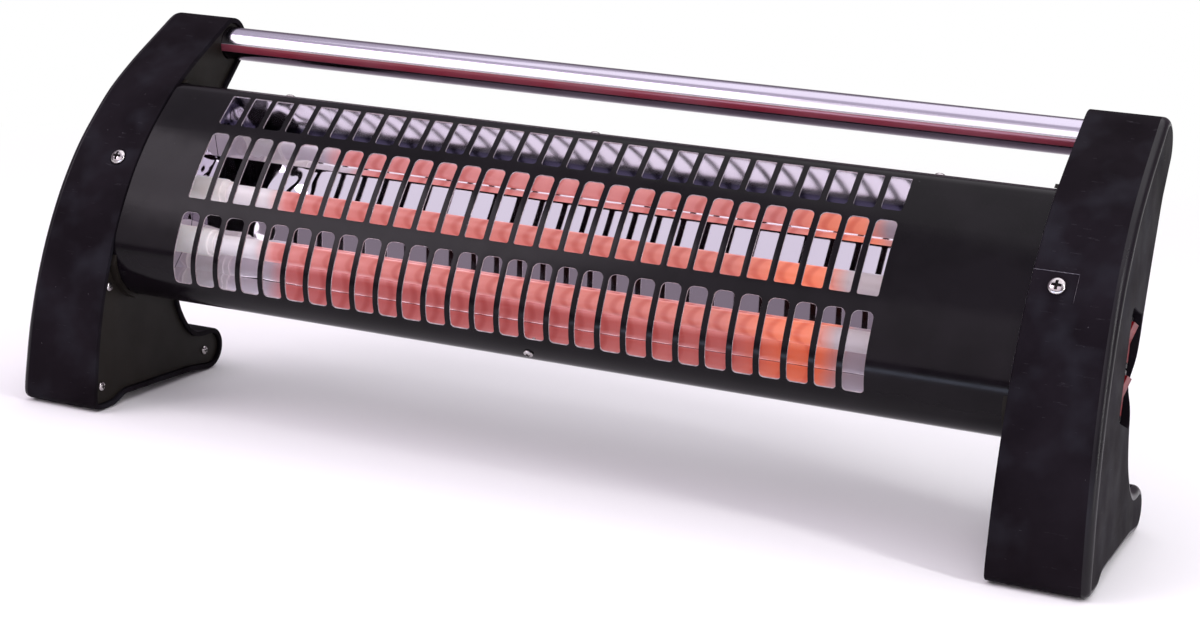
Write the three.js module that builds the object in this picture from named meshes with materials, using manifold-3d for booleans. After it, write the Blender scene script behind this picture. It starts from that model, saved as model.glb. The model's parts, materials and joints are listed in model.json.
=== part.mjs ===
// Quartz tube room heater: two plastic legs carry a slotted sheet-metal body
// and a chromed handle tube. Millimetres, +Z up, +X towards the control end.
// Sided pieces are drawn for the control end and mirrored for the other one.

import * as THREE from 'three';
import { mergeGeometries, mergeVertices } from 'three/addons/utils/BufferGeometryUtils.js';
import Module from 'manifold-3d';

const wasm = await Module();
wasm.setup();

// Overall layout
const legSpan = 453.3;            // between the inner faces of the two legs
const handleSetback = 121.1;      // handle axis behind the toe of the leg
const handleHeight = 174.0;       // handle axis above the sole of the leg
const handleRadius = 8.45;
const handleWall = 1.0;
const neckWall = 4.5;             // plastic round the handle at the top of the leg
const fitGap = 0.3;               // air between pieces that touch
const cutOverrun = 2.0;           // how far a cutter runs past what it cuts

// Legs
const legFootWidth = 44.9;        // along the heater, at the sole
const legTopWidth = 37.1;         // the same at the handle axis
const legWall = 2.5;
const legEdgeRadius = 3.6;        // round of the outer edge
const coverRecess = 1.6;          // inner cover below the rim of the leg
const coverThickness = 2.0;
const socketDepth = 24.0;         // handle tube inside the leg
const heelRadius = 10.9;
const bossRadius = 3.6;
const padLength = 30.0;
const padWidth = 8.0;
const padThickness = 2.0;
const padProud = 0.8;             // pad below the sole
const padRound = 2.5;

// Body
const bodySetback = 1.0;          // body front behind the front edge of the legs
const bodyRearMargin = 6.5;       // body back in front of the rear edge of the legs
const bodyBottom = 53.8;          // above the sole
const bodyDrop = 16.4;            // top of the body below the handle axis
const sheet = 0.8;
const lowerBendRadius = 25.0;
const topBendRadius = 10.5;
const rearBendRadius = 8.0;
const topSlope = 14 * Math.PI / 180;
const collarWall = 1.8;
const collarProud = 2.2;          // collar of the cover past the rim of the leg

// Slots of the front sheet
const slotPitch = 12.75;
const slotBar = 3.0;
const slotRound = 1.8;
const slotInset = { left: 34.35, right: 61.95 };   // plain sheet beside the slots

// Rows of slots in shares of the body's height. Each pair is bottom, top.
const lowRowShares = [0.1435, 0.4778];
const midRowShares = [0.5395, 0.8227];
const topRowShares = [0.8613, 0.9788];

// Vents of the back panel
const ventInset = 70.65;          // plain panel beside the vents
const ventPitch = 26.0;
const ventLength = 18.0;
const ventHeight = 3.0;
const ventRowSpacing = 13.0;
const ventRows = 2;

// Heating unit
const unitInset = { left: 17.35, right: 39.95 };   // reflector from the legs
const mirrorSheet = 0.8;
const tubeRadius = 5.0;
const tubeWall = 1.1;
const tubeSetback = 23.9;         // tube axes behind the front sheet
const tubeSpacing = 26.2;
const coilInset = 33.7;           // coil from the end of its tube
const coilTailRadius = 0.8;
const capRadius = 7.0;
const capNoseRadius = 6.1;
const capNoseLength = 3.0;
const capLength = 33.0;
const capOverhang = 6.0;          // cap outside the end of the reflector
const capSocket = 13.0;           // tube inside the cap
const wireRadius = 1.3;
const wireInCap = 8.0;
const wireBehind = 20.5;          // return wire behind the tube axes
const wireSpread = 5.0;           // between the two wires of a switch and its middle
const wireRun = 14.0;             // straight wire inside the leg

// Switches and safety switch
const recessLength = 50.0;
const recessWidth = 25.0;
const recessDepth = 5.0;
const recessRound = 4.0;
const recessTurn = 2.73 * Math.PI / 180;     // recess steeper than the leg's rear edge
const recessMargin = 14.94;       // middle of the recess from the rear edge of the leg
const recessRise = 32.2;          // middle of the recess above the bottom of the body
const switchPitch = 23.4;
const bezelLength = 22.4;
const bezelWidth = 15.0;
const bezelThickness = 1.6;
const bezelLip = 0.6;             // bezel round the switch body
const switchBodyDepth = 12.0;     // behind the floor of the recess
const switchCavity = 8.0;         // hollow below the pivot
const rockerLength = 17.0;
const rockerWidth = 11.0;
const rockerTilt = 9 * Math.PI / 180;
const rockerPivotDepth = 2.2;     // pivot below the face of the bezel
const rockerMiddle = 2.6;         // rocker above its pivot
const rockerBelly = 4.5;          // rocker below its pivot
const rockerPinRadius = 0.9;
const rockerPinProud = 0.6;
const tipCaseWidth = 26.0;
const tipCaseHeight = 33.0;
const tipCaseDepth = 12.0;
const tipCaseSetback = 40.0;
const tipCaseBase = 8.5;          // case above the sole
const tipWall = 1.4;
const tipPinRadius = 1.2;
const tipPinDrop = 6.5;           // pin below the top of the case
const pinPlay = 0.1;
const hubWall = 1.8;
const armWidth = 2.0;
const bobRadius = 5.0;
const bobClearance = 2.1;         // bob above the floor of its case
const bobThickness = 6.0;
const blockLength = 30.0;
const blockHeight = 12.0;
const blockDepth = 10.0;
const blockSetback = 38.0;
const blockGap = 4.5;             // block above the case of the safety switch
const blockBore = 1.7;
const glandRadius = 6.0;
const glandFlange = 1.8;
const glandFlangeThickness = 2.0;
const glandNose = 13.0;           // gland outside the leg
const glandTail = 4.0;            // gland inside the leg
const glandBore = 3.4;

// Screws
const panRadius = 4.0;
const panHeight = 2.4;
const panShank = 1.9;
const panShankLength = 9.0;
const smallRadius = 2.4;
const smallHeight = 1.5;
const smallShank = 1.3;
const smallShankLength = 8.0;
const crossLengthShare = 1.3;     // of the head's radius
const crossWidthShare = 0.26;
const crossDepthShare = 0.6;      // of the head's height
const stripScrewDrop = 33.8;      // below the top of the body
const stripScrewInset = 10.8;     // from the inner face of the leg
const seatLength = 19.5;          // shallow seat from the inner face of the control leg
const seatHeight = 13.6;
const seatDepth = 0.5;
const tabWidth = 12.0;
const tabLength = 18.0;
const tabThickness = 1.2;
const lowerScrewTurn = 47 * Math.PI / 180;   // round the lower bend, from level
const bendScrewMargin = 6.4;      // front cover screw from the lower bend
const bendScrewSetback = 6.3;     // the same screw from the front edge of the leg
const caseScrewInset = 56.65;     // outer case screws from the legs

// Outlines in shares of the handle's place. Each pair is setback, height.
const frontEdgeShares = [
  [0.0, 0.035], [0.0130, 0.168], [0.0384, 0.283], [0.0793, 0.398], [0.1379, 0.513],
  [0.2180, 0.628], [0.3287, 0.743], [0.4847, 0.857], [0.5888, 0.915], [0.7143, 0.972],
];
const rearEdgeShares = [
  [0.9637, 0.866], [0.8650, 0.759], [0.7613, 0.642], [0.6730, 0.530],
  [0.6053, 0.444], [0.5870, 0.385], [0.5880, 0.310], [0.6110, 0.236], [0.6600, 0.180],
  [0.7160, 0.140], [0.7780, 0.1265],
];
const soleShares = [
  [0.7600, 0.0075], [0.6911, 0.0130], [0.4476, 0.0180], [0.2230, 0.0215], [0.1860, 0.0130],
  [0.1560, 0.0030], [0.1200, 0.0], [0.0600, 0.0], [0.0250, 0.0040], [0.0060, 0.0150],
];
const coverScrewShares = [[0.0620, 0.0675], [0.8134, 0.061]];
const heelShare = 0.853;          // middle of the heel, of the handle's setback
const glandShare = 0.345;         // middle of the gland, of the handle's height
const toePadShare = 0.09;         // middle of the toe's pad, of the handle's setback

// The troughs of the reflector in shares of the tube spacing and the tube setback,
// and its two lips in shares of the height of the slotted face and the tube setback
const troughShares = [
  [-1.020, 1.277], [-0.304, 1.523], [0.156, 1.411], [1.371, 1.817], [1.858, 1.374],
];
const lowLipShares = [-0.560, 0.783];
const topLipShares = [0.829, 0.889];

const neckRadius = handleRadius + fitGap + neckWall;
const legTaper = (legFootWidth - legTopWidth) / handleHeight;
const innerFace = legSpan / 2;
const legDepth = handleSetback + neckRadius;
const coverBack = innerFace + coverRecess + coverThickness;
const sheetEnd = innerFace - fitGap;
const lap = sheet + fitGap;        // from one lapped sheet to the next
const bobDrop = tipCaseHeight - tipPinDrop - tipWall - bobClearance - bobRadius;
const bodyTop = handleHeight - bodyDrop;
const bodyHeight = bodyTop - bodyBottom;
const blockLevel = tipCaseBase + tipCaseHeight + blockGap + blockHeight / 2;
const stripScrewLevel = bodyTop - stripScrewDrop;
const recessHeight = bodyBottom + recessRise;
const slotCount = Math.round((legSpan - slotInset.left - slotInset.right) / slotPitch);
const slotFieldOffset = (slotInset.left - slotInset.right) / 2;
const ventCount = Math.round((legSpan - 2 * ventInset) / ventPitch);
const caseScrewSpacing = innerFace - caseScrewInset;
const unitEnds = { right: innerFace - unitInset.right, left: innerFace - unitInset.left };
const unitOffset = (unitEnds.right - unitEnds.left) / 2;
const reflectorLength = unitEnds.right + unitEnds.left;
const tubeEnd = reflectorLength / 2 + capOverhang + capSocket - capLength - fitGap;
const coilEnd = tubeEnd - coilInset;
const coilTailEnd = reflectorLength / 2 + capOverhang - wireInCap - fitGap;

const paint = {
  shell: new THREE.MeshStandardMaterial({ color: '#26232a', roughness: 0.42 }),
  cover: new THREE.MeshStandardMaterial({ color: '#241f1c', roughness: 0.6 }),
  enamel: new THREE.MeshStandardMaterial({ color: '#1c191d', roughness: 0.25, metalness: 0.2 }),
  mirror: new THREE.MeshStandardMaterial({ color: '#d9d6de', roughness: 0.06, metalness: 1 }),
  chrome: new THREE.MeshStandardMaterial({ color: '#cfcdd6', roughness: 0.08, metalness: 1 }),
  quartz: new THREE.MeshStandardMaterial({ color: '#e58f84', roughness: 0.25 }),
  coil: new THREE.MeshStandardMaterial({ color: '#d9672f', roughness: 0.6, metalness: 0.5 }),
  ceramic: new THREE.MeshStandardMaterial({ color: '#eee6e2', roughness: 0.45 }),
  steel: new THREE.MeshStandardMaterial({ color: '#b9b6b8', roughness: 0.25, metalness: 1 }),
  zinc: new THREE.MeshStandardMaterial({ color: '#8f8d8c', roughness: 0.45, metalness: 1 }),
  rubber: new THREE.MeshStandardMaterial({ color: '#191817', roughness: 0.9 }),
  rocker: new THREE.MeshStandardMaterial({ color: '#a3141a', roughness: 0.25 }),
  wire: new THREE.MeshStandardMaterial({ color: '#d8d2c8', roughness: 0.7 }),
};

// Solids

function solidOf(geometry) {
  const bare = geometry.clone();
  bare.deleteAttribute('normal');
  bare.deleteAttribute('uv');
  const merged = mergeVertices(bare);
  return new wasm.Manifold(new wasm.Mesh({
    numProp: 3,
    vertProperties: new Float32Array(merged.attributes.position.array),
    triVerts: new Uint32Array(merged.index.array),
  }));
}

function geometryOf(solid) {
  const mesh = solid.getMesh();
  const geometry = new THREE.BufferGeometry();
  geometry.setAttribute('position', new THREE.BufferAttribute(mesh.vertProperties, 3));
  geometry.setIndex(new THREE.BufferAttribute(mesh.triVerts, 1));
  geometry.computeVertexNormals();
  return geometry;
}

// Adds each geometry of the first list to a solid and cuts each of the second from it.
function shaped(geometry, added, cut) {
  let solid = solidOf(geometry);
  added.forEach((piece) => {
    solid = solid.add(solidOf(piece));
  });
  cut.forEach((piece) => {
    solid = solid.subtract(solidOf(piece));
  });
  return solid;
}

function named(name, geometry, material) {
  const mesh = new THREE.Mesh(geometry, material);
  mesh.name = name;
  return mesh;
}

// Shapes in the side view: x is the setback from the toe, y the height, drawn along X.

const sideView = new THREE.Matrix4().makeBasis(
  new THREE.Vector3(0, 1, 0), new THREE.Vector3(0, 0, 1), new THREE.Vector3(1, 0, 0));

function slab(outline, from, to) {
  return new THREE.ExtrudeGeometry(new THREE.Shape(outline), {
    depth: to - from, bevelEnabled: false,
  }).applyMatrix4(sideView).translate(from, 0, 0);
}

function roundedSlab(outline, from, to, radius) {
  return new THREE.ExtrudeGeometry(new THREE.Shape(outline), {
    depth: to - from - radius,
    bevelThickness: radius,
    bevelSize: radius,
    bevelOffset: -radius,
    bevelSegments: 3,
  }).applyMatrix4(sideView).translate(from, 0, 0);
}

function box(low, high) {
  const size = new THREE.Vector3().subVectors(high, low);
  const middle = new THREE.Vector3().addVectors(high, low).divideScalar(2);
  return new THREE.BoxGeometry(size.x, size.y, size.z)
    .translate(middle.x, middle.y, middle.z);
}

function barAlongX(radius, from, to, centre, segments) {
  return new THREE.CylinderGeometry(radius, radius, to - from, segments)
    .rotateZ(-Math.PI / 2)
    .translate((from + to) / 2, centre.x, centre.y);
}

// A body of revolution along X. Each profile pair is a radius and a place on X.
function turnedAlongX(profile, centre, segments) {
  const points = profile.map(([radius, place]) => new THREE.Vector2(radius, place));
  return new THREE.LatheGeometry(points, segments)
    .rotateZ(-Math.PI / 2)
    .translate(0, centre.x, centre.y);
}

// A ring of revolution, whose profile closes on itself.
function ringAlongX(profile, centre, segments) {
  return turnedAlongX([...profile, profile[0]], centre, segments);
}

// Each corner is an arc of as many segments as asked.
function roundedRectangle(width, height, radius, segments) {
  const x = width / 2 - radius;
  const y = height / 2 - radius;
  const corners = [[x, -y], [x, y], [-x, y], [-x, -y]];
  return new THREE.Shape(corners.flatMap(([cornerX, cornerY], i) => arcPoints(
    new THREE.Vector2(cornerX, cornerY), radius,
    (i - 1) * Math.PI / 2, i * Math.PI / 2, segments)));
}

// A prism on a flat shape, from one level of its own third axis to another.
function prism(shape, from, to) {
  return new THREE.ExtrudeGeometry(shape, { depth: to - from, bevelEnabled: false })
    .translate(0, 0, from);
}

function wire(points, steps) {
  const section = new THREE.Shape();
  section.absarc(0, 0, wireRadius, 0, 2 * Math.PI, false);
  return new THREE.ExtrudeGeometry(section, {
    steps,
    curveSegments: 3,
    extrudePath: new THREE.CatmullRomCurve3(points, false, 'centripetal'),
  });
}

// Outlines run anticlockwise in the side view, with +Y to the right.

function edgeNormal(from, to) {
  return new THREE.Vector2(to.y - from.y, from.x - to.x).normalize();
}

function offsetPoint(point, before, after, distance) {
  const first = edgeNormal(before, point);
  const second = edgeNormal(point, after);
  const mitre = first.clone().add(second).divideScalar(1 + first.dot(second));
  return point.clone().addScaledVector(mitre, distance);
}

function offsetOutline(points, distance) {
  const count = points.length;
  return points.map((point, i) => offsetPoint(
    point, points[(i + count - 1) % count], points[(i + 1) % count], distance));
}

// A strip of even thickness on the right-hand side of a path, or its left if negative.
function ribbon(path, thickness) {
  const far = path.map((point, i) => {
    const before = path[Math.max(i - 1, 0)];
    const after = path[Math.min(i + 1, path.length - 1)];
    if (i === 0) {
      return point.clone().addScaledVector(edgeNormal(point, after), thickness);
    }
    if (i === path.length - 1) {
      return point.clone().addScaledVector(edgeNormal(before, point), thickness);
    }
    return offsetPoint(point, before, after, thickness);
  });
  return [...path, ...far.reverse()];
}

function arcPoints(centre, radius, from, to, segments) {
  return Array.from({ length: segments + 1 }, (_, i) => {
    const angle = from + (to - from) * i / segments;
    return new THREE.Vector2(
      centre.x + radius * Math.cos(angle), centre.y + radius * Math.sin(angle));
  });
}

function pointOnPath(path, height) {
  for (let i = 1; i < path.length; i += 1) {
    const from = path[i - 1];
    const to = path[i];
    if ((from.y - height) * (to.y - height) <= 0 && from.y !== to.y) {
      return from.clone().lerp(to, (height - from.y) / (to.y - from.y));
    }
  }
  throw new Error(`no point of the path is ${height} mm high`);
}

// The value between low and high at which a growing function reaches a goal.
function solve(grows, goal, low, high) {
  let from = low;
  let to = high;
  for (let i = 0; i < 50; i += 1) {
    const middle = (from + to) / 2;
    if (grows(middle) < goal) {
      from = middle;
    } else {
      to = middle;
    }
  }
  return from;
}

const atShare = ([setback, height]) => new THREE.Vector2(
  setback * handleSetback, height * handleHeight);

// The leg's outline

const frontEdge = new THREE.SplineCurve(frontEdgeShares.map(atShare));
const rearEdge = new THREE.SplineCurve(rearEdgeShares.map(atShare));
const handleAxis = new THREE.Vector2(handleSetback, handleHeight);
const heelCentre = new THREE.Vector2(heelShare * handleSetback, heelRadius);

function headingAt(edge, share) {
  const direction = edge.getTangent(share);
  return Math.atan2(direction.y, direction.x);
}

function legOutline() {
  const neckFrom = headingAt(frontEdge, 1) + Math.PI / 2;
  const neckTo = headingAt(rearEdge, 0) + Math.PI / 2;
  const heelFrom = headingAt(rearEdge, 1) + Math.PI / 2;
  return [
    ...frontEdge.getPoints(15),
    ...arcPoints(handleAxis, neckRadius, neckFrom, neckTo, 8),
    ...rearEdge.getPoints(13),
    ...arcPoints(heelCentre, heelRadius, heelFrom, -Math.PI / 2, 6),
    ...soleShares.map(atShare),
  ].reverse();
}

const legLoop = legOutline();
const frontPath = frontEdge.getPoints(60);
const rearPath = rearEdge.getPoints(60).reverse();

// A place on the leg's front edge: point, heading up the edge and inward normal.
function frontPlace(height) {
  const point = pointOnPath(frontPath, height);
  const above = pointOnPath(frontPath, height + cutOverrun);
  const heading = above.clone().sub(point).normalize();
  return { point, heading, inward: new THREE.Vector2(heading.y, -heading.x) };
}

function behindFront(height, distance) {
  const place = frontPlace(height);
  return place.point.addScaledVector(place.inward, distance);
}

// The body's outline, run from the bottom up the front and down the back

// The height at which a bend inside the front edge has its centre at a level.
function bendStart(radius, centreLevel) {
  const centreAt = (height) => behindFront(height, bodySetback + radius).y;
  return solve(centreAt, centreLevel, legWall, bodyTop);
}

const lowerStart = bendStart(lowerBendRadius, bodyBottom + lowerBendRadius);
const topStart = bendStart(topBendRadius, bodyTop - topBendRadius);
const lowerCentre = behindFront(lowerStart, bodySetback + lowerBendRadius);
const topCentre = behindFront(topStart, bodySetback + topBendRadius);

function headingOfFront(height) {
  const { heading } = frontPlace(height);
  return Math.atan2(heading.y, heading.x);
}

// The back runs straight between two places in front of the leg's rear edge.
const backLow = pointOnPath(rearPath, bodyBottom + lowerBendRadius)
  .sub(new THREE.Vector2(bodyRearMargin, 0));
const backHigh = pointOnPath(rearPath, bodyTop - 2 * topBendRadius)
  .sub(new THREE.Vector2(bodyRearMargin, 0));
const backHeading = backHigh.clone().sub(backLow).normalize();
const backAngle = Math.atan2(backHeading.y, backHeading.x);

// The centre of a bend that touches the back and a line through a point.
function bendAtBack(point, angle, side) {
  const backOffset = backLow.clone().addScaledVector(
    new THREE.Vector2(-backHeading.y, backHeading.x), rearBendRadius);
  const normal = new THREE.Vector2(-Math.sin(angle), Math.cos(angle));
  const lineOffset = point.clone().addScaledVector(normal, side * rearBendRadius);
  const along = lineOffset.sub(backOffset).dot(normal) / backHeading.dot(normal);
  return backOffset.addScaledVector(backHeading, along);
}

const topLineStart = arcPoints(topCentre, topBendRadius, Math.PI / 2 - topSlope, 0, 1)[0];
const bottomLineStart = new THREE.Vector2(lowerCentre.x, bodyBottom);
const backTopCentre = bendAtBack(topLineStart, -topSlope, -1);
const backBottomCentre = bendAtBack(bottomLineStart, 0, 1);

const lowerBend = arcPoints(
  lowerCentre, lowerBendRadius, -Math.PI / 2, headingOfFront(lowerStart) - 3 * Math.PI / 2, 6);
const frontFace = Array.from({ length: 5 }, (_, i) => behindFront(
  lowerStart + (topStart - lowerStart) * (i + 1) / 6, bodySetback));
const topBend = arcPoints(
  topCentre, topBendRadius, headingOfFront(topStart) + Math.PI / 2, Math.PI / 2 - topSlope, 4);
const backTopBend = arcPoints(
  backTopCentre, rearBendRadius, Math.PI / 2 - topSlope, backAngle - Math.PI / 2, 4);
const backBottomBend = arcPoints(
  backBottomCentre, rearBendRadius, backAngle - Math.PI / 2, -Math.PI / 2, 4);
const bodyFrontPath = [...lowerBend, ...frontFace, ...topBend];
const bodyLoop = [...bodyFrontPath, ...backTopBend, ...backBottomBend].reverse();

const innerLoop = offsetOutline(bodyLoop, -lap);

// The heights of the lower and the upper edge of a row of slots.
function rowHeights(shares) {
  return shares.map((share) => bodyBottom + share * bodyHeight);
}

// The heating unit's own directions: along the face of the heater and into it.
const [faceLow, barLow] = rowHeights(lowRowShares);
const [barHigh, faceHigh] = rowHeights(midRowShares);
const unitOrigin = pointOnPath(bodyFrontPath, (barLow + barHigh) / 2);
const faceChord = pointOnPath(bodyFrontPath, faceHigh).sub(pointOnPath(bodyFrontPath, faceLow));
const faceLength = faceChord.length();
const unitAlong = faceChord.clone().normalize();
const unitInto = new THREE.Vector2(unitAlong.y, -unitAlong.x);

function inUnit(along, into) {
  return unitOrigin.clone()
    .addScaledVector(unitAlong, along)
    .addScaledVector(unitInto, into);
}

const tubeAxes = {
  upper: inUnit(tubeSpacing / 2, tubeSetback),
  lower: inUnit(-tubeSpacing / 2, tubeSetback),
};
const returnAxis = inUnit(0, tubeSetback + wireBehind);
const wireHole = wireRadius + fitGap;

// Sheet metal of the body

function slotCutters() {
  const cutters = [];
  const width = slotPitch - slotBar;
  [lowRowShares, midRowShares, topRowShares].forEach((shares) => {
    const [low, high] = rowHeights(shares).map((height) => pointOnPath(bodyFrontPath, height));
    const chord = high.clone().sub(low);
    const middle = low.clone().lerp(high, 1 / 2);
    const shape = roundedRectangle(width, chord.length(), slotRound, 1);
    const reach = cutOverrun + sheet + lowerBendRadius / 8;
    const cutter = prism(shape, -reach, reach);
    cutter.rotateX(Math.atan2(chord.y, chord.x));
    for (let i = 0; i < slotCount; i += 1) {
      const x = slotFieldOffset + (i - (slotCount - 1) / 2) * slotPitch;
      cutters.push(cutter.clone().translate(x, middle.x, middle.y));
    }
  });
  return mergeGeometries(cutters);
}

// Case screws join the front sheet to the flanges of the back panel.
function flangeScrewPlaces() {
  const bottom = bottomLineStart.clone().lerp(backBottomBend[backBottomBend.length - 1], 1 / 2);
  const top = topBend[topBend.length - 1].clone().lerp(backTopBend[0], 1 / 2);
  const topOutward = new THREE.Vector2(Math.sin(topSlope), Math.cos(topSlope));
  return [
    { row: 'bottom', point: bottom, outward: new THREE.Vector2(0, -1) },
    { row: 'top', point: top, outward: topOutward },
  ];
}

const lowerScrewPlace = arcPoints(
  lowerCentre, lowerBendRadius, Math.PI + lowerScrewTurn, 0, 1)[0];
const lowerScrewOutward = lowerScrewPlace.clone().sub(lowerCentre).normalize();

function turnedToward(geometry, outward) {
  const turn = new THREE.Quaternion().setFromUnitVectors(
    new THREE.Vector3(0, 1, 0), new THREE.Vector3(0, outward.x, outward.y));
  return geometry.applyQuaternion(turn);
}

function screwHole(radius, reach, x, point, outward) {
  const hole = new THREE.CylinderGeometry(radius, radius, 2 * reach, 10);
  return turnedToward(hole, outward).translate(x, point.x, point.y);
}

function caseScrewHoles(reach) {
  return flangeScrewPlaces().flatMap(({ point, outward }) => [-1, 0, 1].map((side) => screwHole(
    smallShank + fitGap, reach, side * caseScrewSpacing, point, outward)));
}

function frontSheet() {
  const start = new THREE.Vector2(backBottomCentre.x, bodyBottom);
  const path = [start, ...bodyFrontPath, backTopBend[0]];
  const strip = slab(ribbon(path, sheet), -sheetEnd, sheetEnd);
  const hole = screwHole(
    smallShank + fitGap, sheet + cutOverrun, 0, lowerScrewPlace, lowerScrewOutward);
  const reach = sheet + lap + cutOverrun;
  const solid = shaped(strip, [], [slotCutters(), hole, ...caseScrewHoles(reach)]);
  return named('front_sheet', geometryOf(solid), paint.enamel);
}

function ventCutters() {
  const middle = backLow.clone().lerp(backHigh, 1 / 2);
  const shape = roundedRectangle(ventLength, ventHeight, ventHeight / 3, 1);
  const cutters = [];
  for (let row = 0; row < ventRows; row += 1) {
    const along = (row - (ventRows - 1) / 2) * ventRowSpacing;
    const centre = middle.clone().addScaledVector(backHeading, along);
    for (let i = 0; i < ventCount; i += 1) {
      const x = (i - (ventCount - 1) / 2) * ventPitch;
      cutters.push(prism(shape, -cutOverrun - sheet, cutOverrun + sheet)
        .rotateX(backAngle)
        .translate(x, centre.x, centre.y));
    }
  }
  return mergeGeometries(cutters);
}

function backPanel() {
  const path = [
    topBend[topBend.length - 1],
    ...backTopBend,
    ...backBottomBend,
    bottomLineStart,
  ];
  const whole = ribbon(path, lap + sheet);
  const inner = whole.slice(path.length).reverse();
  const strip = slab(ribbon(inner, -sheet), -sheetEnd, sheetEnd);
  const reach = sheet + lap + cutOverrun;
  const solid = shaped(strip, [], [ventCutters(), ...caseScrewHoles(reach)]);
  return named('back_panel', geometryOf(solid), paint.enamel);
}

// Reflector and its ends

function mirrorPoint([along, into], alongUnit) {
  return inUnit(along * alongUnit, into * tubeSetback);
}

const mirrorPath = [
  mirrorPoint(lowLipShares, faceLength),
  ...troughShares.map((shares) => mirrorPoint(shares, tubeSpacing)),
  mirrorPoint(topLipShares, faceLength),
];

function reflector() {
  const strip = slab(ribbon(mirrorPath, mirrorSheet), -unitEnds.left, unitEnds.right);
  const room = slab(innerLoop, -sheetEnd, sheetEnd);
  const reach = smallShankLength + cutOverrun;
  const hole = screwHole(smallShank + fitGap, reach, 0, lowerScrewPlace, lowerScrewOutward);
  let solid = solidOf(strip).intersect(solidOf(room));
  [hole, ...caseScrewHoles(reach)].forEach((cut) => {
    solid = solid.subtract(solidOf(cut));
  });
  return named('reflector', geometryOf(solid), paint.mirror);
}

// The flat end of the reflector fills the space between its troughs and the front sheet.
function reflectorEnd(side) {
  const inFront = ribbon(mirrorPath, -fitGap).slice(mirrorPath.length).reverse();
  const ahead = unitInto.clone().multiplyScalar(-tubeSetback * 2);
  const outline = [
    ...inFront,
    inFront[inFront.length - 1].clone().add(ahead),
    inFront[0].clone().add(ahead),
  ].reverse();
  const from = unitEnds[side];
  const trough = slab(outline, from - mirrorSheet, from);
  const room = slab(innerLoop, from - mirrorSheet, from);
  const holes = Object.values(tubeAxes).map((axis) => solidOf(barAlongX(
    capRadius + fitGap, from - cutOverrun, from + cutOverrun, axis, 20)));
  const solid = solidOf(trough).intersect(solidOf(room)).subtract(holes[0]).subtract(holes[1]);
  return named(`reflector_end_${side}`, geometryOf(solid), paint.mirror);
}

// Quartz tubes, coils and end caps

function quartzTube(level) {
  const from = unitOffset - tubeEnd;
  const to = unitOffset + tubeEnd;
  const bore = tubeRadius - tubeWall;
  const profile = [[bore, from], [tubeRadius, from], [tubeRadius, to], [bore, to]];
  return named(`quartz_tube_${level}`, ringAlongX(profile, tubeAxes[level], 18), paint.quartz);
}

function heatingCoil(level) {
  const body = tubeRadius - tubeWall - fitGap;
  const end = coilTailEnd;
  const profile = [
    [0, -end], [coilTailRadius, -end], [coilTailRadius, -coilEnd], [body, -coilEnd],
    [body, coilEnd], [coilTailRadius, coilEnd], [coilTailRadius, end], [0, end],
  ];
  const geometry = turnedAlongX(profile, tubeAxes[level], 12).translate(unitOffset, 0, 0);
  return named(`heating_coil_${level}`, geometry, paint.coil);
}

// A ceramic cap on the end of a tube, held in the end of the reflector.
function endCap(level, side) {
  const outer = unitEnds[side] + capOverhang;
  const inner = outer - capLength;
  const socketEnd = inner + capSocket;
  const socket = tubeRadius + fitGap;
  const profile = [
    [socket, inner], [capNoseRadius, inner], [capNoseRadius, inner + capNoseLength],
    [capRadius, inner + capNoseLength], [capRadius, outer], [wireHole, outer],
    [wireHole, socketEnd], [socket, socketEnd],
  ];
  return named(
    `end_cap_${level}_${side}`, ringAlongX(profile, tubeAxes[level], 16), paint.ceramic);
}

// Ends of the body

// The steel end of the body, with a tab that runs into the leg for the strip screw.
function bodyEnd(side) {
  const place = frontPlace(stripScrewLevel);
  const tabFront = place.point.clone().addScaledVector(place.inward, legWall + fitGap);
  const low = tabFront.clone().addScaledVector(place.heading, -tabWidth / 2);
  const high = tabFront.clone().addScaledVector(place.heading, tabWidth / 2);
  const from = sheetEnd - tabThickness;
  const tab = slab(ribbon([low, high], tabThickness), from, innerFace + tabLength);
  const blank = slab(offsetOutline(innerLoop, -lap), from, sheetEnd);
  const holes = [
    barAlongX(wireHole, from - cutOverrun, innerFace, tubeAxes.upper, 12),
    barAlongX(wireHole, from - cutOverrun, innerFace, tubeAxes.lower, 12),
    barAlongX(wireHole, from - cutOverrun, innerFace, returnAxis, 12),
    stripScrewHole(panShank + fitGap),
  ];
  return named(`body_end_${side}`, geometryOf(shaped(blank, [tab], holes)), paint.zinc);
}

function stripScrewPlace(recess) {
  const place = frontPlace(stripScrewLevel);
  const point = place.point.addScaledVector(place.inward, recess);
  return { point, outward: place.inward.clone().negate() };
}

function stripScrewHole(radius) {
  const { point, outward } = stripScrewPlace(0);
  return screwHole(radius, panShankLength + cutOverrun, innerFace + stripScrewInset, point, outward);
}

// Legs

// Leans what is drawn against a level outer face onto the leg's tapering one.
const legLean = new THREE.Matrix4().makeShear(0, 0, 0, 0, -legTaper, 0);

function outerFaceAt(height) {
  return innerFace + legFootWidth - legTaper * height;
}

function coverScrewPlaces() {
  const placeAt = (height) => behindFront(height, bendScrewSetback);
  const nearness = (height) => -placeAt(height).distanceTo(lowerCentre);
  const height = solve(nearness, -lowerBendRadius - bendScrewMargin, legWall, bodyTop / 2);
  return [placeAt(height), ...coverScrewShares.map(atShare)];
}

function legBlank() {
  const from = innerFace - 2 * legEdgeRadius;
  const to = innerFace + legFootWidth;
  return solidOf(roundedSlab(legLoop, from, to, legEdgeRadius).applyMatrix4(legLean));
}

function legHollow() {
  const from = innerFace - 2 * legFootWidth;
  const to = innerFace + legFootWidth - legWall;
  return solidOf(slab(offsetOutline(legLoop, -legWall), from, to).applyMatrix4(legLean));
}

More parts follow.
